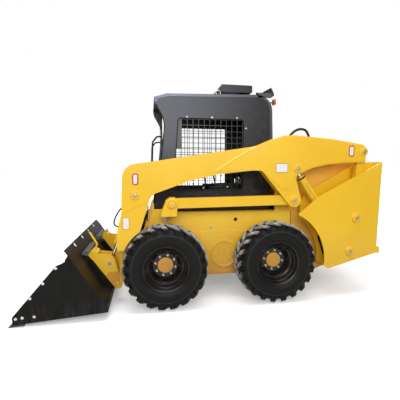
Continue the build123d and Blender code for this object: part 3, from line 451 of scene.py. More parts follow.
def bolt(place, radius, start=0.3):
    """Hex bolt head on its washer, its axis along Y, radius to the hexagon's corners."""
    washer = [(-0.002, 0), (-0.002, radius * 1.25), (0.0015, radius * 1.25), (0.002, radius * 1.2),
              (0.002, 0)]
    head = [(0.0015, 0), (0.0015, radius), (radius * 0.55, radius), (radius * 0.62, radius * 0.85),
            (radius * 0.62, 0)]
    points, faces = joined([turned(washer, (0, 0, 0), 24), turned(head, (0, 0, 0), 6, start)])
    return points + place, faces


side_bolts = [bolt((-0.004, BODY_FACE, 0.759), 0.012), bolt((0.60, BODY_FACE, 0.80), 0.009)]
piece("body_bolts", mirrored(joined(side_bolts)), zinc, "chassis", 0.5)
# A thin black sheet stands for the slot: painted shadow where the opening is.
slot_edge = eased([(-1.213, 0.640), (-1.190, 0.640), (-1.225, 0.540), (-1.262, 0.430), (-1.287, 0.410),
                   (-1.258, 0.500), (-1.232, 0.580)], 0.006, True, 4)
dark = painted_steel("shadow_black", "#0c0b0a", "#11100e", 0.8, specular=0.1)
piece("hose_slots", mirrored(prism(slot_edge, 0.6195, 0.6215)), dark, "chassis")

# Pin heads: every hinge pin ends in a zinc-plated keeper bolt on its painted face, and a
# rounded rim, welded on and painted with the plate, stands round each boss.
PIN_BOLT_R = 0.0165
LINK_FRONT, ARM_LOBE, ARM_REAR = pivot["lift"], pivot["arm_turn"], pivot["rear_link_turn"]
CYL_BASE, TILT_TOP = pivot["lift_barrel_turn"], pivot["tilt_barrel_turn"]
# The other pins' centres: the corner of a node's box, less the outer radius of the eye there.
LIFT_EYE_R, LINK_EYE_R, TILT_EYE_R = 0.046, 0.048, 0.038
rod_box, link_box, eye_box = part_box("lift_rods"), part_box("rear_links"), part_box("tilt_rods")
CYL_TIP = np.array([rod_box[1].x - LIFT_EYE_R, 0, rod_box[1].z - LIFT_EYE_R])
LINK_REAR = np.array([link_box[1].x - LINK_EYE_R, 0, link_box[0].z + LINK_EYE_R])
TILT_EYE = np.array([eye_box[1].x - TILT_EYE_R, 0, eye_box[0].z + TILT_EYE_R])
arm_pin_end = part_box("arm_pins")[1].y
chassis_pin_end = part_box("chassis_pins")[1].y
front_pin_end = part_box("link_brackets")[1].y
arm_turns = ((ARM_LOBE, 0.2), (ARM_REAR, 0.5), (CYL_TIP, 0.1), (TILT_TOP, 0.7))
arm_heads = [bolt(place + (0, arm_pin_end, 0), PIN_BOLT_R, turn) for place, turn in arm_turns]
piece("arm_pin_bolts", mirrored(joined(arm_heads)), zinc, "lift_arms", 0.5)
chassis_turns = ((LINK_REAR, 0.4), (CYL_BASE, 0.9))
chassis_heads = [bolt(place + (0, chassis_pin_end, 0), PIN_BOLT_R, turn) for place, turn in chassis_turns]
chassis_heads.append(bolt(LINK_FRONT + (0, front_pin_end, 0), PIN_BOLT_R, 0.25))
piece("chassis_pin_bolts", mirrored(joined(chassis_heads)), zinc, "chassis", 0.5)


def collar(place, face, radius, height):
    """Rounded ring that stands on a face round a pin."""
    section = [(-0.002, radius - 0.012), (-0.002, radius + 0.004), (0.002, radius + 0.003),
               (height, radius - 0.002), (height + 0.002, radius - 0.006), (height, radius - 0.010)]
    return turned(section, place + (0, face, 0), 48)


bosses = ((ARM_LOBE, 0.044), (ARM_REAR, 0.044), (CYL_TIP, 0.044), (TILT_TOP, 0.042))
collars = [collar(place, ARM_FACE, radius, 0.009) for place, radius in bosses]
piece("arm_boss_rims", mirrored(joined(collars)), yellow, "lift_arms")
collars = [collar(place, TOWER_FACE, 0.050, 0.012) for place in (LINK_REAR, CYL_BASE)]
collars.append(collar(LINK_FRONT, front_pin_end, 0.044, 0.006))
piece("chassis_boss_rims", mirrored(joined(collars)), yellow, "chassis")

# Doubler plates on the arms: a second steel plate over the rear half of each arm, cut to a
# rounded tip on the slope. Its front edge is welded, and a paler yellow bar along it is a painted
# highlight.
doubler = eased([(-0.024, 1.358), (-0.215, 1.483), (-0.409, 1.590), (-0.560, 1.655), (-0.720, 1.705),
                 (-0.980, 1.705), (-1.250, 1.675), (-1.628, 1.618), (-1.632, 1.465), (-1.430, 1.458),
                 (-1.210, 1.440), (-1.020, 1.402), (-0.870, 1.330), (-0.840, 1.300), (-0.800, 1.180),
                 (-0.700, 1.175), (-0.478, 1.362), (-0.300, 1.362), (-0.120, 1.350)],
                [0.016, 0.02, 0.02, 0.04, 0.06, 0.08, 0.08, 0.03, 0.02, 0.03, 0.06, 0.05, 0.02, 0.02,
                 0.03, 0.03, 0.01, 0.02, 0.02], True, 6)
DOUBLER_FACE = ARM_FACE + 0.0045
piece("arm_doublers", mirrored(prism(doubler, ARM_FACE - 0.001, DOUBLER_FACE)), yellow, "lift_arms")
edge_line = np.array([(-0.030, 1.356), (-0.018, 1.352), (-0.020, 1.362), (-0.215, 1.487), (-0.415, 1.598)])
edge_path = eased(np.insert(edge_line, 1, ARM_FACE + 0.003, axis=1), 0.004, False, 5)
# A paler yellow bar along the welded edge: a painted highlight.
edge_highlight_paint = painted_steel("painted_highlight_yellow_edge", "#ffe483", "#f9d765", 0.4)
piece("doubler_edges", mirrored(tube(edge_path, 0.0055, 8)), edge_highlight_paint, "lift_arms")


# Sign plates: thin aluminium faced with vinyl and stuck on flat. They are blank, a white
# field in a red or grey border.
def lozenge(x, z, width, height, corner):
    """Rounded rectangle in the XZ plane, centred on x and z."""
    w, h = width / 2, height / 2
    return eased([(x - w, z - h), (x + w, z - h), (x + w, z + h), (x - w, z + h)], corner, True, 6)


sign_white = painted_steel("blank_sign_white", "#f2efe9", "#e6e2da", 0.35, 0.3)
sign_red = painted_steel("blank_sign_red", "#c9403c", "#b93632", 0.35, 0.3)
sign_grey = painted_steel("blank_sign_grey", "#6a6862", "#5b5954", 0.4, 0.2)


def sign(name, place, size, corner, face, border, rim, body):
    """Blank plate: a coloured backing, and a white field inset by the border's width."""
    inner = (size[0] - rim * 2, size[1] - rim * 2, max(corner - rim, 0.002))
    backing = prism(lozenge(*place, *size, corner), face - 0.0005, face + 0.0012)
    field = prism(lozenge(*place, *inner), face, face + 0.0018)
    piece(name + "_backing", mirrored(backing), border, body)
    piece(name + "_field", mirrored(field), sign_white, body)


sign("arm_knee_sign", (0.759, 1.279), (0.058, 0.112), 0.026, ARM_FACE, sign_red, 0.012, "lift_arms")
sign("arm_leg_sign", (0.852, 0.861), (0.060, 0.112), 0.004, ARM_FACE, sign_red, 0.004, "lift_arms")
sign("arm_rear_sign", (-1.470, 1.568), (0.066, 0.118), 0.028, DOUBLER_FACE, sign_red, 0.012, "lift_arms")
sign("arm_middle_sign", (-0.695, 1.388), (0.128, 0.092), 0.006, DOUBLER_FACE, sign_grey, 0.004, "lift_arms")
sign("body_front_sign", (0.480, 0.872), (0.056, 0.062), 0.004, BODY_FACE, sign_red, 0.004, "chassis")


# Cab: pressed and bent sheet under grey-black enamel that turns paler towards the front, a painted
# reflection, and darker below the sills, painted shade, with a rolled flange round the roof, whose paler
# grey is a painted highlight, rubber gaskets at the windows, and bolted-on guards.
def painted_reflection_steel(name, rear, front, roughness):
    """Enamel whose colour goes from the rear's to the front's along X, paler towards the front as a
    painted reflection, and fades out below the sills to the rear's darker colour as painted shade, with
    fine dust and orange peel."""
    material, tree = blank_material(name)
    place = add(tree, "TexCoord").outputs["Object"]
    split = add(tree, "SeparateXYZ", (), {"Vector": place})
    # Paler towards the front: a painted reflection. Held to the rear's darker colour below the sills: painted
    # shade.
    along = add(tree, "MapRange", {1: -0.65, 2: 0.50}, {0: split.outputs["X"]},
                interpolation_type="SMOOTHSTEP")
    above = add(tree, "MapRange", {1: 1.15, 2: 1.70}, {0: split.outputs["Z"]},
                interpolation_type="SMOOTHSTEP")
    ahead = add(tree, "Math", (), {0: along.outputs["Result"], 1: above.outputs["Result"]},
                operation="MULTIPLY")
    colours = add(tree, "Mix", {"A": linear(rear), "B": linear(front)}, {"Factor": ahead.outputs["Value"]},
                  data_type="RGBA")
    specks = add(tree, "TexNoise", {"Scale": 14.0, "Detail": 8.0, "Roughness": 0.65}, {"Vector": place})
    film = add(tree, "MapRange", {1: 0.45, 2: 0.8, 3: 0.0, 4: 0.10}, {0: specks.outputs["Fac"]})
    dusty = add(tree, "Mix", {"B": linear("#8d8a84")},
                {"Factor": film.outputs["Result"], "A": colours.outputs["Result"]}, data_type="RGBA")
    gloss = add(tree, "MapRange", {1: 0.3, 2: 0.8, 3: roughness - 0.04, 4: roughness + 0.08},
                {0: specks.outputs["Fac"]})
    peel = add(tree, "TexNoise", {"Scale": 210.0, "Detail": 2.0}, {"Vector": place})
    bump = add(tree, "Bump", {"Strength": 0.05, "Distance": 0.001}, {"Height": peel.outputs["Fac"]})
    shader = add(tree, "BsdfPrincipled", {"Specular IOR Level": 0.3},
                 {"Base Color": dusty.outputs["Result"], "Roughness": gloss.outputs["Result"],
                  "Normal": bump.outputs["Normal"]})
    add(tree, "OutputMaterial", (), {"Surface": shader.outputs["BSDF"]})
    return material


charcoal = painted_reflection_steel("cab_charcoal_enamel", "#131417", "#51545e", 0.40)
# The flange's paler grey is a painted highlight along the rolled edge.
flange_painted_highlight = painted_reflection_steel("cab_flange_painted_highlight", "#3f434b", "#7c8798", 0.36)
flat_black = painted_steel("black_powder_coat", "#141312", "#1b1a18", 0.5, specular=0.25)
black_rubber = painted_steel("gasket_rubber", "#0e0d0d", "#151414", 0.65, specular=0.2)
coat_nodes(charcoal, "cab_sides", "cab_roof", "cab_rear", "roof_unit")
coat_nodes(flat_black, "cab_floor", "seat_base", "control_levers", "grab_handles", "lap_bar",
           "rear_work_light")
coat_nodes(painted_reflection_steel("guard_wire_enamel", "#151516", "#606164", 0.45), "window_guards")
CAB_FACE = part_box("cab_sides")[1].y
SILL_Z, LINTEL_Z = 1.150, 1.900
WINDOW_REAR, WINDOW_FRONT = -0.374, 0.375


def strip(line, width, low, high):
    """Band of a width that follows a line in the XZ plane on its left-hand side, carried along Y."""
    line = np.asarray(line, float)
    along = np.gradient(line, axis=0)
    along /= np.linalg.norm(along, axis=1)[:, None]
    inner = line + width * np.stack([-along[:, 1], along[:, 0]], axis=-1)
    ring = np.stack([line, line, inner, inner], axis=1)
    y = np.array([low, high, high, low])
    points = np.stack([ring[..., 0], np.broadcast_to(y, ring.shape[:2]), ring[..., 1]],
                      axis=-1).reshape(-1, 3)
    last = 4 * (len(line) - 1)
    return points, quads(len(line), 4, False, True) + [[3, 2, 1, 0], [last, last + 1, last + 2, last + 3]]


flange_line = eased([(0.560, 2.060), (0.566, 2.105), (0.442, 2.145), (-0.516, 2.170), (-0.693, 2.170),
                     (-0.708, 1.704), (-0.705, 1.350)], [0, 0.02, 0.06, 0.2, 0.18, 0.2, 0], False, 12)
piece("cab_flanges", mirrored(strip(flange_line, 0.026, CAB_FACE - 0.003, CAB_FACE + 0.0035)),
      flange_painted_highlight, "chassis")
window = [(WINDOW_REAR, SILL_Z), (WINDOW_FRONT, SILL_Z), (WINDOW_FRONT - 0.051, LINTEL_Z),
          (WINDOW_REAR, LINTEL_Z)]
gasket_path = eased(window, 0.03, True, 6)
gasket_line = np.concatenate([gasket_path, gasket_path[:1]])
piece("window_gaskets", mirrored(strip(gasket_line, -0.007, CAB_FACE - 0.002, CAB_FACE + 0.003)),
      black_rubber, "chassis")
front_line = eased([(0.574, 1.060), (0.508, 1.472), (0.468, 1.868), (0.556, 2.035)], [0, 0.05, 0.08, 0],
                   False, 8)
piece("front_edge_trims", mirrored(strip(front_line, 0.010, CAB_FACE - 0.004, CAB_FACE + 0.003)),
      black_rubber, "chassis")
bolt_places = ((0.233, 1.916), (-0.032, 1.916), (-0.304, 1.920), (-0.406, 1.813), (-0.327, 1.279),
               (-0.204, 1.181), (0.060, 1.173))
cab_bolts = [bolt((x, CAB_FACE, z), 0.0085, 0.2 * i) for i, (x, z) in enumerate(bolt_places)]
piece("cab_bolts", mirrored(joined(cab_bolts)), zinc, "chassis", 0.5)
louvres = []
for x in (-0.580, -0.555, -0.530):
    slat = [(x, SILL_Z), (x + 0.008, SILL_Z), (x + 0.008, SILL_Z + 0.090), (x, SILL_Z + 0.090)]
    louvres.append(prism(slat, CAB_FACE - 0.002, CAB_FACE + 0.004))
piece("cab_louvres", mirrored(joined(louvres)), charcoal, "chassis")
reflector = prism(lozenge(0.482, 1.786, 0.014, 0.215, 0.005), CAB_FACE - 0.001, CAB_FACE + 0.003)
piece("post_marker_strips", mirrored(reflector), sign_white, "chassis")


def leaned(points, lean, centre):
    """Points turned by an angle about Y, then moved out to a centre."""
    x = points[:, 0] * np.cos(lean) + points[:, 2] * np.sin(lean)
    z = -points[:, 0] * np.sin(lean) + points[:, 2] * np.cos(lean)
    return np.stack([x, points[:, 1], z], axis=-1) + centre


def block(centre, size, lean=0.0):
    """Box about a centre, leaned by an angle about Y."""
    signs = np.array([(x, y, z) for x in (-1, 1) for y in (-1, 1) for z in (-1, 1)])
    faces = [[0, 1, 3, 2], [4, 6, 7, 5], [0, 4, 5, 1], [2, 3, 7, 6], [0, 2, 6, 4], [1, 5, 7, 3]]
    return leaned(signs * np.array(size) / 2, lean, centre), faces


rib_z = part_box("roof_unit")[1].z - 0.001
rib_places = [(x, y, rib_z) for x in (-0.446, -0.266) for y in np.linspace(-0.18, 0.18, 9)]
ribs = [block(place, (0.150, 0.012, 0.008)) for place in rib_places]
piece("roof_unit_ribs", joined(ribs), charcoal, "chassis")

# Cab glass and lamps: a toughened rear pane, a work light with a clear plastic lens in a black
# bezel, and tail lamps of moulded plastic whose upper half is amber and whose lower half is red.
glass, tree = blank_material("toughened_glass")
place = add(tree, "TexCoord").outputs["Object"]
film = add(tree, "TexNoise", {"Scale": 6.0, "Detail": 5.0}, {"Vector": place})
haze = add(tree, "MapRange", {1: 0.4, 2: 0.8, 3: 0.02, 4: 0.12}, {0: film.outputs["Fac"]})
shader = add(tree, "BsdfPrincipled",
             {"Base Color": linear("#dfe8e6"), "Transmission Weight": 0.95, "IOR": 1.3},
             {"Roughness": haze.outputs["Result"]})
add(tree, "OutputMaterial", (), {"Surface": shader.outputs["BSDF"]})
coat_nodes(glass, "rear_glass")


def lens_plastic(name, colour):
    """Moulded lens: saturated plastic with a fluted bump that runs up and down, and a clear gloss."""
    material, tree = blank_material(name)
    place = add(tree, "TexCoord").outputs["Object"]
    flutes = add(tree, "TexWave", {"Scale": 40.0, "Distortion": 0.0}, {"Vector": place},
                 bands_direction="Y")
    bump = add(tree, "Bump", {"Strength": 0.3, "Distance": 0.002}, {"Height": flutes.outputs["Fac"]})
    shader = add(tree, "BsdfPrincipled",
                 {"Base Color": linear(colour), "Roughness": 0.15, "Coat Weight": 0.5},
                 {"Normal": bump.outputs["Normal"]})
    add(tree, "OutputMaterial", (), {"Surface": shader.outputs["BSDF"]})
    return material


coat_nodes(lens_plastic("red_lens", "#b3261c"), "tail_lamps")
amber = prism([(-0.7775, 2.125), (-0.753, 2.125), (-0.753, 2.1535), (-0.7775, 2.1535)], 0.2945, 0.3655)
piece("amber_lenses", mirrored(amber), lens_plastic("amber_lens", "#e0871c"), "chassis")
work_place = np.array([-0.696, 0.300, 2.226])
LAMP_LEAN = np.radians(28)
out_of_lamp = np.array([-np.cos(LAMP_LEAN), 0, np.sin(LAMP_LEAN)])
bezel = block(work_place + out_of_lamp * 0.041, (0.006, 0.122, 0.072), LAMP_LEAN)
piece("work_light_bezel", bezel, flat_black, "chassis")
clear = block(work_place + out_of_lamp * 0.044, (0.004, 0.100, 0.052), LAMP_LEAN)
piece("work_light_lens", clear, lens_plastic("clear_lens", "#c9cdd0"), "chassis")

# Seat: foam cushion and backrest under black vinyl, with stitched grooves from front to back,
# on a black steel base. The lap bar's middle is sleeved in foam.
vinyl, tree = blank_material("seat_vinyl")
place = add(tree, "TexCoord").outputs["Object"]
grain = add(tree, "TexVoronoi", {"Scale": 420.0}, {"Vector": place})
bump = add(tree, "Bump", {"Strength": 0.25, "Distance": 0.001}, {"Height": grain.outputs["Distance"]})
worn = add(tree, "TexNoise", {"Scale": 5.0, "Detail": 4.0}, {"Vector": place})
tone = add(tree, "Mix", {"A": linear("#161617"), "B": linear("#2a2a2b")}, {"Factor": worn.outputs["Fac"]},
           data_type="RGBA")
shader = add(tree, "BsdfPrincipled", {"Roughness": 0.5, "Specular IOR Level": 0.35},
             {"Base Color": tone.outputs["Result"], "Normal": bump.outputs["Normal"]})
add(tree, "OutputMaterial", (), {"Surface": shader.outputs["BSDF"]})

PAD_LINES = 49
SEAMS = (-0.6, -0.2, 0.2, 0.6)      # stitched grooves, as shares of a pad's half width
BACK_LEAN = np.radians(90 + 6.3)


def pad(centre, half, lean):
    """Stuffed pad: each point of a cube is scaled until the seventh powers of its coordinates add up to
    one, stretched to the pad's half sizes, pinched in along its stitched grooves, and leaned about Y."""
    t = np.linspace(-1, 1, PAD_LINES)
    a, b = (axis.ravel() for axis in np.meshgrid(t, t, indexing="ij"))
    sides = []
    for axis in range(3):
        for end in (-1.0, 1.0):
            cube = np.insert(np.stack([a, b], axis=-1), axis, end, axis=1)
            sides.append((cube, quads(PAD_LINES, PAD_LINES, False, False)))
    cube, faces = joined(sides)
    unit = cube / (np.abs(cube) ** 7).sum(axis=1)[:, None] ** (1 / 7)
    groove = sum(np.exp(-((unit[:, 1] - seam) / 0.02) ** 2) for seam in SEAMS)
    unit = unit * np.stack([1 - 0.02 * groove, np.ones(len(unit)), 1 - 0.09 * groove], axis=-1)
    return leaned(unit * half, lean, centre), faces


seat = piece("seat_cushion", pad((-0.380, 0, 1.146), (0.200, 0.230, 0.056), 0.0), vinyl, "chassis")
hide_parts("seat_cushions")
back = piece("seat_backrest", pad((-0.554, 0, 1.421), (0.220, 0.220, 0.050), BACK_LEAN), vinyl, "chassis")
sleeve = tube(np.linspace((-0.110, -0.29, 1.420), (-0.110, 0.29, 1.420), 30), 0.021, 20)
piece("lap_bar_sleeve", sleeve, black_rubber, "lap_bar")

# Cylinders: cold-drawn barrels painted with the machine, chromed rods, a gland ring at each
# mouth, and a steel oil pipe clipped along each barrel.
chrome = bare_metal("hard_chrome", "#f4f5f6", "#d5d8da", 0.10)
coat_nodes(chrome, "lift_rods", "tilt_rods")


def gland(base, tip, reach, radius, length):
    """Ring round the line from base to tip, reach along it: an inner and an outer circle at each end."""
    base, tip = np.asarray(base, float), np.asarray(tip, float)
    along = (tip - base) / np.linalg.norm(tip - base)
    across = np.cross(along, (0.0, 1.0, 0.0))
    turn = np.linspace(0, 2 * np.pi, 40, endpoint=False)[:, None, None]
    ring = np.array([(0, radius - 0.008), (0, radius - 0.001), (0.002, radius), (length, radius),
                     (length + 0.002, radius - 0.002), (length + 0.002, radius - 0.008)])
    circle = np.cos(turn) * across + np.sin(turn) * np.array([0.0, 1.0, 0.0])
    points = base + along * (reach + ring[None, :, :1]) + circle * ring[None, :, 1:]
    return points.reshape(-1, 3), quads(len(turn), len(ring), True, True)


def side_pipe(base, tip, start, end, offset, radius):
    """Pipe beside the line from base to tip: it leaves the barrel, runs level with it and goes back in."""
    base, tip = np.asarray(base, float), np.asarray(tip, float)
    along = (tip - base) / np.linalg.norm(tip - base)
    outward = np.array([0.0, 1.0, 0.0])
    inside = offset - 0.012
    stops = ((start, inside), (start, offset), (end, offset), (end, inside))
    corners = [base + along * reach + outward * out for reach, out in stops]
    return tube(eased(corners, [0, 0.010, 0.010, 0], False, 8), radius, 10)


LIFT_Y, TILT_Y = 0.720, 0.480       # centre planes of the cylinders
lift_base, lift_tip = CYL_BASE + (0, LIFT_Y, 0), CYL_TIP + (0, LIFT_Y, 0)
piece("lift_glands", mirrored(gland(lift_base, lift_tip, 0.955, 0.0455, 0.018)), flat_black,
      "lift_barrels")
piece("lift_pipes", mirrored(side_pipe(lift_base, lift_tip, 0.14, 0.90, 0.050, 0.0055)), yellow,
      "lift_barrels")
tilt_base, tilt_tip = TILT_TOP + (0, TILT_Y, 0), TILT_EYE + (0, TILT_Y, 0)
low_end = float(np.linalg.norm(tilt_tip - tilt_base) - 0.20)
piece("tilt_pipes", mirrored(side_pipe(tilt_base, tilt_tip, 0.12, low_end, 0.040, 0.005)), yellow,
      "tilt_barrels")

# Hoses: wire-braided hydraulic hose with a black rubber cover, each lying along its route from
# one fitting to the next, both ends made fast in the machine.
hose_cover, tree = blank_material("hose_rubber")
place = add(tree, "TexCoord").outputs["Object"]
braid = add(tree, "TexWave", {"Scale": 90.0, "Distortion": 2.0}, {"Vector": place})
bump = add(tree, "Bump", {"Strength": 0.15, "Distance": 0.001}, {"Height": braid.outputs["Fac"]})
shader = add(tree, "BsdfPrincipled",
             {"Base Color": linear("#171615"), "Roughness": 0.5, "Specular IOR Level": 0.3},
             {"Normal": bump.outputs["Normal"]})
add(tree, "OutputMaterial", (), {"Surface": shader.outputs["BSDF"]})


def hose(name, points, diameter, body):
    """Hose: an open NURBS curve of the third order, drawn towards the points of its route."""
    curve = bpy.data.curves.new(name, "CURVE")
    curve.dimensions = "3D"
    curve.bevel_depth = diameter / 2
    curve.bevel_resolution = 4
    curve.resolution_u = 12
    curve.use_fill_caps = True
    line = curve.splines.new("NURBS")
    line.points.add(len(points) - 1)
    for point, place in zip(line.points, points):
        point.co = (*place, 1.0)
    line.order_u = 3
    line.use_endpoint_u = True
    curve.materials.append(hose_cover)
    made = bpy.data.objects.new(name, curve)
    bpy.context.scene.collection.objects.link(made)
    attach(made, body)
    return made


boom = hose("boom_hose_run", [(-0.790, 0.700, 1.700), (-0.845, 0.700, 1.768), (-0.935, 0.700, 1.800),
                              (-1.010, 0.700, 1.768), (-1.024, 0.700, 1.690)], 0.026, "lift_arms")
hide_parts("boom_hose")
tilt_run = np.array([(0.884, 0.560, 1.010), (0.934, 0.560, 0.960), (0.989, 0.560, 0.850),
                     (0.974, 0.560, 0.800), (0.924, 0.560, 0.790)])
left = hose("tilt_hose_left", tilt_run.tolist(), 0.016, "lift_arms")
right = hose("tilt_hose_right", (tilt_run * (1, -1, 1)).tolist(), 0.016, "lift_arms")
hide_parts("tilt_hoses")
roof_run = hose("cab_hose_run", [(-0.620, 0.150, 2.160), (-0.690, 0.150, 2.195), (-0.754, 0.150, 2.130),
                                 (-0.768, 0.150, 1.950), (-0.766, 0.150, 1.700), (-0.756, 0.150, 1.480),
                                 (-0.762, 0.150, 1.280)], 0.022, "chassis")
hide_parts("cab_hose")


# Bucket: welded plate under black enamel that digging has worn low down, with a bolted-on cutting
# edge, bolts through its side cheeks, a slotted spill guard, and saddle plates behind for the hitch,
# whose grey is a painted sheen on the bucket's black back.
def worn_enamel(name, colour, bare, low, high):
    """Black enamel rubbed to bare steel: streaks from noise stretched up and down, thickest from high down
    to low, and patches that break through where the noise peaks."""
    material, tree = blank_material(name)
    place = add(tree, "TexCoord").outputs["Object"]
    split = add(tree, "SeparateXYZ", (), {"Vector": place})
    stretched = add(tree, "Mapping", {"Scale": (14.0, 3.0, 1.6)}, {"Vector": place})
    streaks = add(tree, "TexNoise", {"Scale": 3.0, "Detail": 8.0, "Roughness": 0.7},
                  {"Vector": stretched.outputs["Vector"]})
    rubbed = add(tree, "MapRange", {1: high, 2: low, 3: 0.04, 4: 0.30}, {0: split.outputs["Z"]})
    through = add(tree, "MapRange", {1: 0.45, 2: 0.72}, {0: streaks.outputs["Fac"]})
    amount = add(tree, "Math", (), {0: rubbed.outputs["Result"], 1: through.outputs["Result"]},
                 operation="MULTIPLY")
    colours = add(tree, "Mix", {"A": linear(colour), "B": linear(bare)}, {"Factor": amount.outputs["Value"]},
                  data_type="RGBA")
    gloss = add(tree, "MapRange", {1: 0.0, 2: 0.6, 3: 0.42, 4: 0.55}, {0: amount.outputs["Value"]})
    pits = add(tree, "TexNoise", {"Scale": 120.0, "Detail": 4.0}, {"Vector": place})
    bump = add(tree, "Bump", {"Strength": 0.15, "Distance": 0.001}, {"Height": pits.outputs["Fac"]})
    shader = add(tree, "BsdfPrincipled", {"Specular IOR Level": 0.15},
                 {"Base Color": colours.outputs["Result"], "Roughness": gloss.outputs["Result"],
                  "Normal": bump.outputs["Normal"]})
    add(tree, "OutputMaterial", (), {"Surface": shader.outputs["BSDF"]})
    return material


coat_nodes(worn_enamel("worn_bucket_enamel", "#100f0e", "#6f6a63", 0.02, 0.22), "bucket")
coat_nodes(worn_enamel("worn_edge_steel", "#46423d", "#8d8780", 0.0, 0.05), "cutting_edge")
BUCKET_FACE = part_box("bucket")[1].y
bolt_places = ((1.444, 0.510), (1.553, 0.380), (1.663, 0.253), (1.785, 0.078), (1.732, 0.084),
               (1.635, 0.087))
cheek_bolts = [bolt((x, BUCKET_FACE, z), 0.010, 0.3 * i) for i, (x, z) in enumerate(bolt_places)]
piece("bucket_bolts", mirrored(joined(cheek_bolts)), bright_zinc, "bucket", 0.5)
# The saddle plates' grey is a painted sheen on the black back, with streaked wear over it.
saddle = [(1.238, 0.520), (1.296, 0.536), (1.286, 0.556), (1.250, 0.574), (1.226, 0.556)]
saddle_painted_sheen = worn_enamel("worn_saddle_steel", "#57595c", "#9b9da0", 0.0, 1.2)
for side, low, high in (("left", 0.16, 0.60), ("right", -0.60, -0.16)):
    piece("bucket_saddle_" + side, prism(saddle, low, high), saddle_painted_sheen, "bucket")
# Darker orange sheets on the hitch ears: painted shade where the side plates' lower part bends inward.
fold = [(1.084, 0.290), (1.051, 0.332), (0.945, 0.340), (0.938, 0.205), (0.975, 0.176), (1.004, 0.186)]
fold_painted_shade = painted_steel("hitch_fold_painted_shade", "#dd9c35", "#cf9130", 0.45, 0.0)
piece("hitch_ear_shade_sheets", mirrored(prism(fold, 0.5595, 0.562)), fold_painted_shade, "bucket")
SPILL_LEAN = 0.6
tab_places = [(1.357, y, 0.634) for y in np.linspace(-0.765, 0.765, 5)]
spill_bars = [block((1.372, 0, 0.654), (0.008, 1.860, 0.014), SPILL_LEAN)]
spill_bars += [block(place, (0.008, 0.330, 0.046), SPILL_LEAN) for place in tab_places]
piece("bucket_spill_guard", joined(spill_bars), flat_black, "bucket")
eye_nut = bolt(TILT_EYE + (0, 0.570, 0), 0.014, 0.2)
piece("hitch_eye_nuts", mirrored(eye_nut), zinc, "bucket", 0.5)

# Small fittings: a rubber buffer on the front of each body side, and the rear door's latch, a
# raised pull on a backing plate.
buffer_line = [(0.640, 1.000), (0.652, 1.000), (0.664, 0.846), (0.652, 0.846)]
piece("body_buffers", mirrored(prism(buffer_line, BODY_FACE - 0.001, BODY_FACE + 0.012)), black_rubber,
      "chassis")
door_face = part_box("rear_door")[0].x
latch = [block((door_face - 0.001, -0.430, 1.000), (0.008, 0.090, 0.130)),
         block((door_face - 0.005, -0.430, 1.000), (0.006, 0.050, 0.090))]
piece("rear_door_latch", joined(latch), flat_black, "rear_door")

# Floor: a pale matt studio floor that runs on past the view and fades to white with distance,
# in a plain white room.
floor_material, tree = blank_material("pale_floor")
place = add(tree, "TexCoord").outputs["Object"]
away = add(tree, "VectorMath", (), {0: place}, operation="LENGTH")
fade = add(tree, "MapRange", {1: 2.2, 2: 7.0, 3: 0.30, 4: 1.1}, {0: away.outputs["Value"]},
           interpolation_type="SMOOTHSTEP")
seen = add(tree, "LightPath")
direct = add(tree, "Math", (), {0: seen.outputs["Is Camera Ray"], 1: seen.outputs["Is Glossy Ray"]},
             operation="MAXIMUM")
tone = add(tree, "Mix", {"A": (0.24, 0.24, 0.24, 1), "B": (0.86, 0.86, 0.86, 1)},
           {"Factor": direct.outputs["Value"]}, data_type="RGBA")
matt = add(tree, "BsdfDiffuse", (), {"Color": tone.outputs["Result"]})
lift = add(tree, "Math", (), {0: seen.outputs["Is Camera Ray"], 1: fade.outputs["Result"]},
           operation="MULTIPLY")
glow = add(tree, "Emission", {"Color": (1, 1, 1, 1)}, {"Strength": lift.outputs["Value"]})
both = add(tree, "AddShader", (), {0: matt.outputs["BSDF"], 1: glow.outputs["Emission"]})
add(tree, "OutputMaterial", (), {"Surface": both.outputs["Shader"]})
FLOOR_REACH = 60.0
spread = np.linspace(-FLOOR_REACH, FLOOR_REACH, 13)
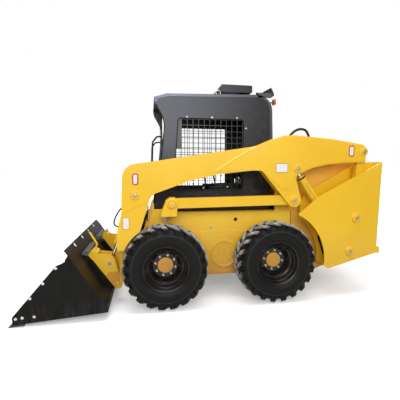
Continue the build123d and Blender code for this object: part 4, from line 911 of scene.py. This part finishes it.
points = np.stack(np.broadcast_arrays(spread[:, None], spread[None, :], 0.0), axis=-1).reshape(-1, 3)
mesh = bpy.data.meshes.new("floor")
mesh.from_pydata(points.tolist(), [], quads(len(spread), len(spread), False, False))
mesh.flip_normals()
mesh.materials.append(floor_material)
floor = bpy.data.objects.new("floor", mesh)
bpy.context.scene.collection.objects.link(floor)
world = bpy.data.worlds.new("room")
bpy.context.scene.world = world
world.use_nodes = True
tree = world.node_tree
tree.nodes.clear()
seen = add(tree, "LightPath")
direct = add(tree, "Math", (), {0: seen.outputs["Is Camera Ray"], 1: seen.outputs["Is Transmission Ray"]},
             operation="MAXIMUM")
level_of = add(tree, "MapRange", {1: 0.0, 2: 1.0, 3: 0.44, 4: 1.0}, {0: direct.outputs["Value"]})
sky = add(tree, "Background", {"Color": (1, 1, 1, 1)}, {"Strength": level_of.outputs["Result"]})
add(tree, "OutputWorld", (), {"Surface": sky.outputs["Background"]})


# Lamps: three rectangular softboxes, one overhead, one on the near side and a weaker one
# behind, each aimed at the machine's middle.
def softbox(name, place, target, size, power):
    """Rectangular lamp that faces a point: its far side is turned along the line to the target."""
    light = bpy.data.lights.new(name, "AREA")
    light.shape = "RECTANGLE"
    light.size, light.size_y = size
    light.energy = power
    lamp = bpy.data.objects.new(name, light)
    back = np.array(place, float) - np.array(target, float)
    back /= np.linalg.norm(back)
    right = np.cross((0, 0, 1), back)
    right /= np.linalg.norm(right)
    turn = np.array([right, np.cross(back, right), back]).T
    lamp.matrix_world = Matrix([[*turn[i], place[i]] for i in range(3)] + [[0, 0, 0, 1]])
    bpy.context.scene.collection.objects.link(lamp)


softbox("overhead", (0.3, 0.6, 6.0), (0.0, 0.0, 0.8), (5.0, 4.0), 280)
softbox("near_side", (0.4, 5.6, 3.2), (0.0, 0.0, 0.9), (5.5, 2.5), 212)
softbox("far_side", (-3.0, -4.5, 3.5), (0.0, 0.0, 1.0), (4.0, 3.0), 150)

bpy.context.scene.view_settings.view_transform = "Standard"
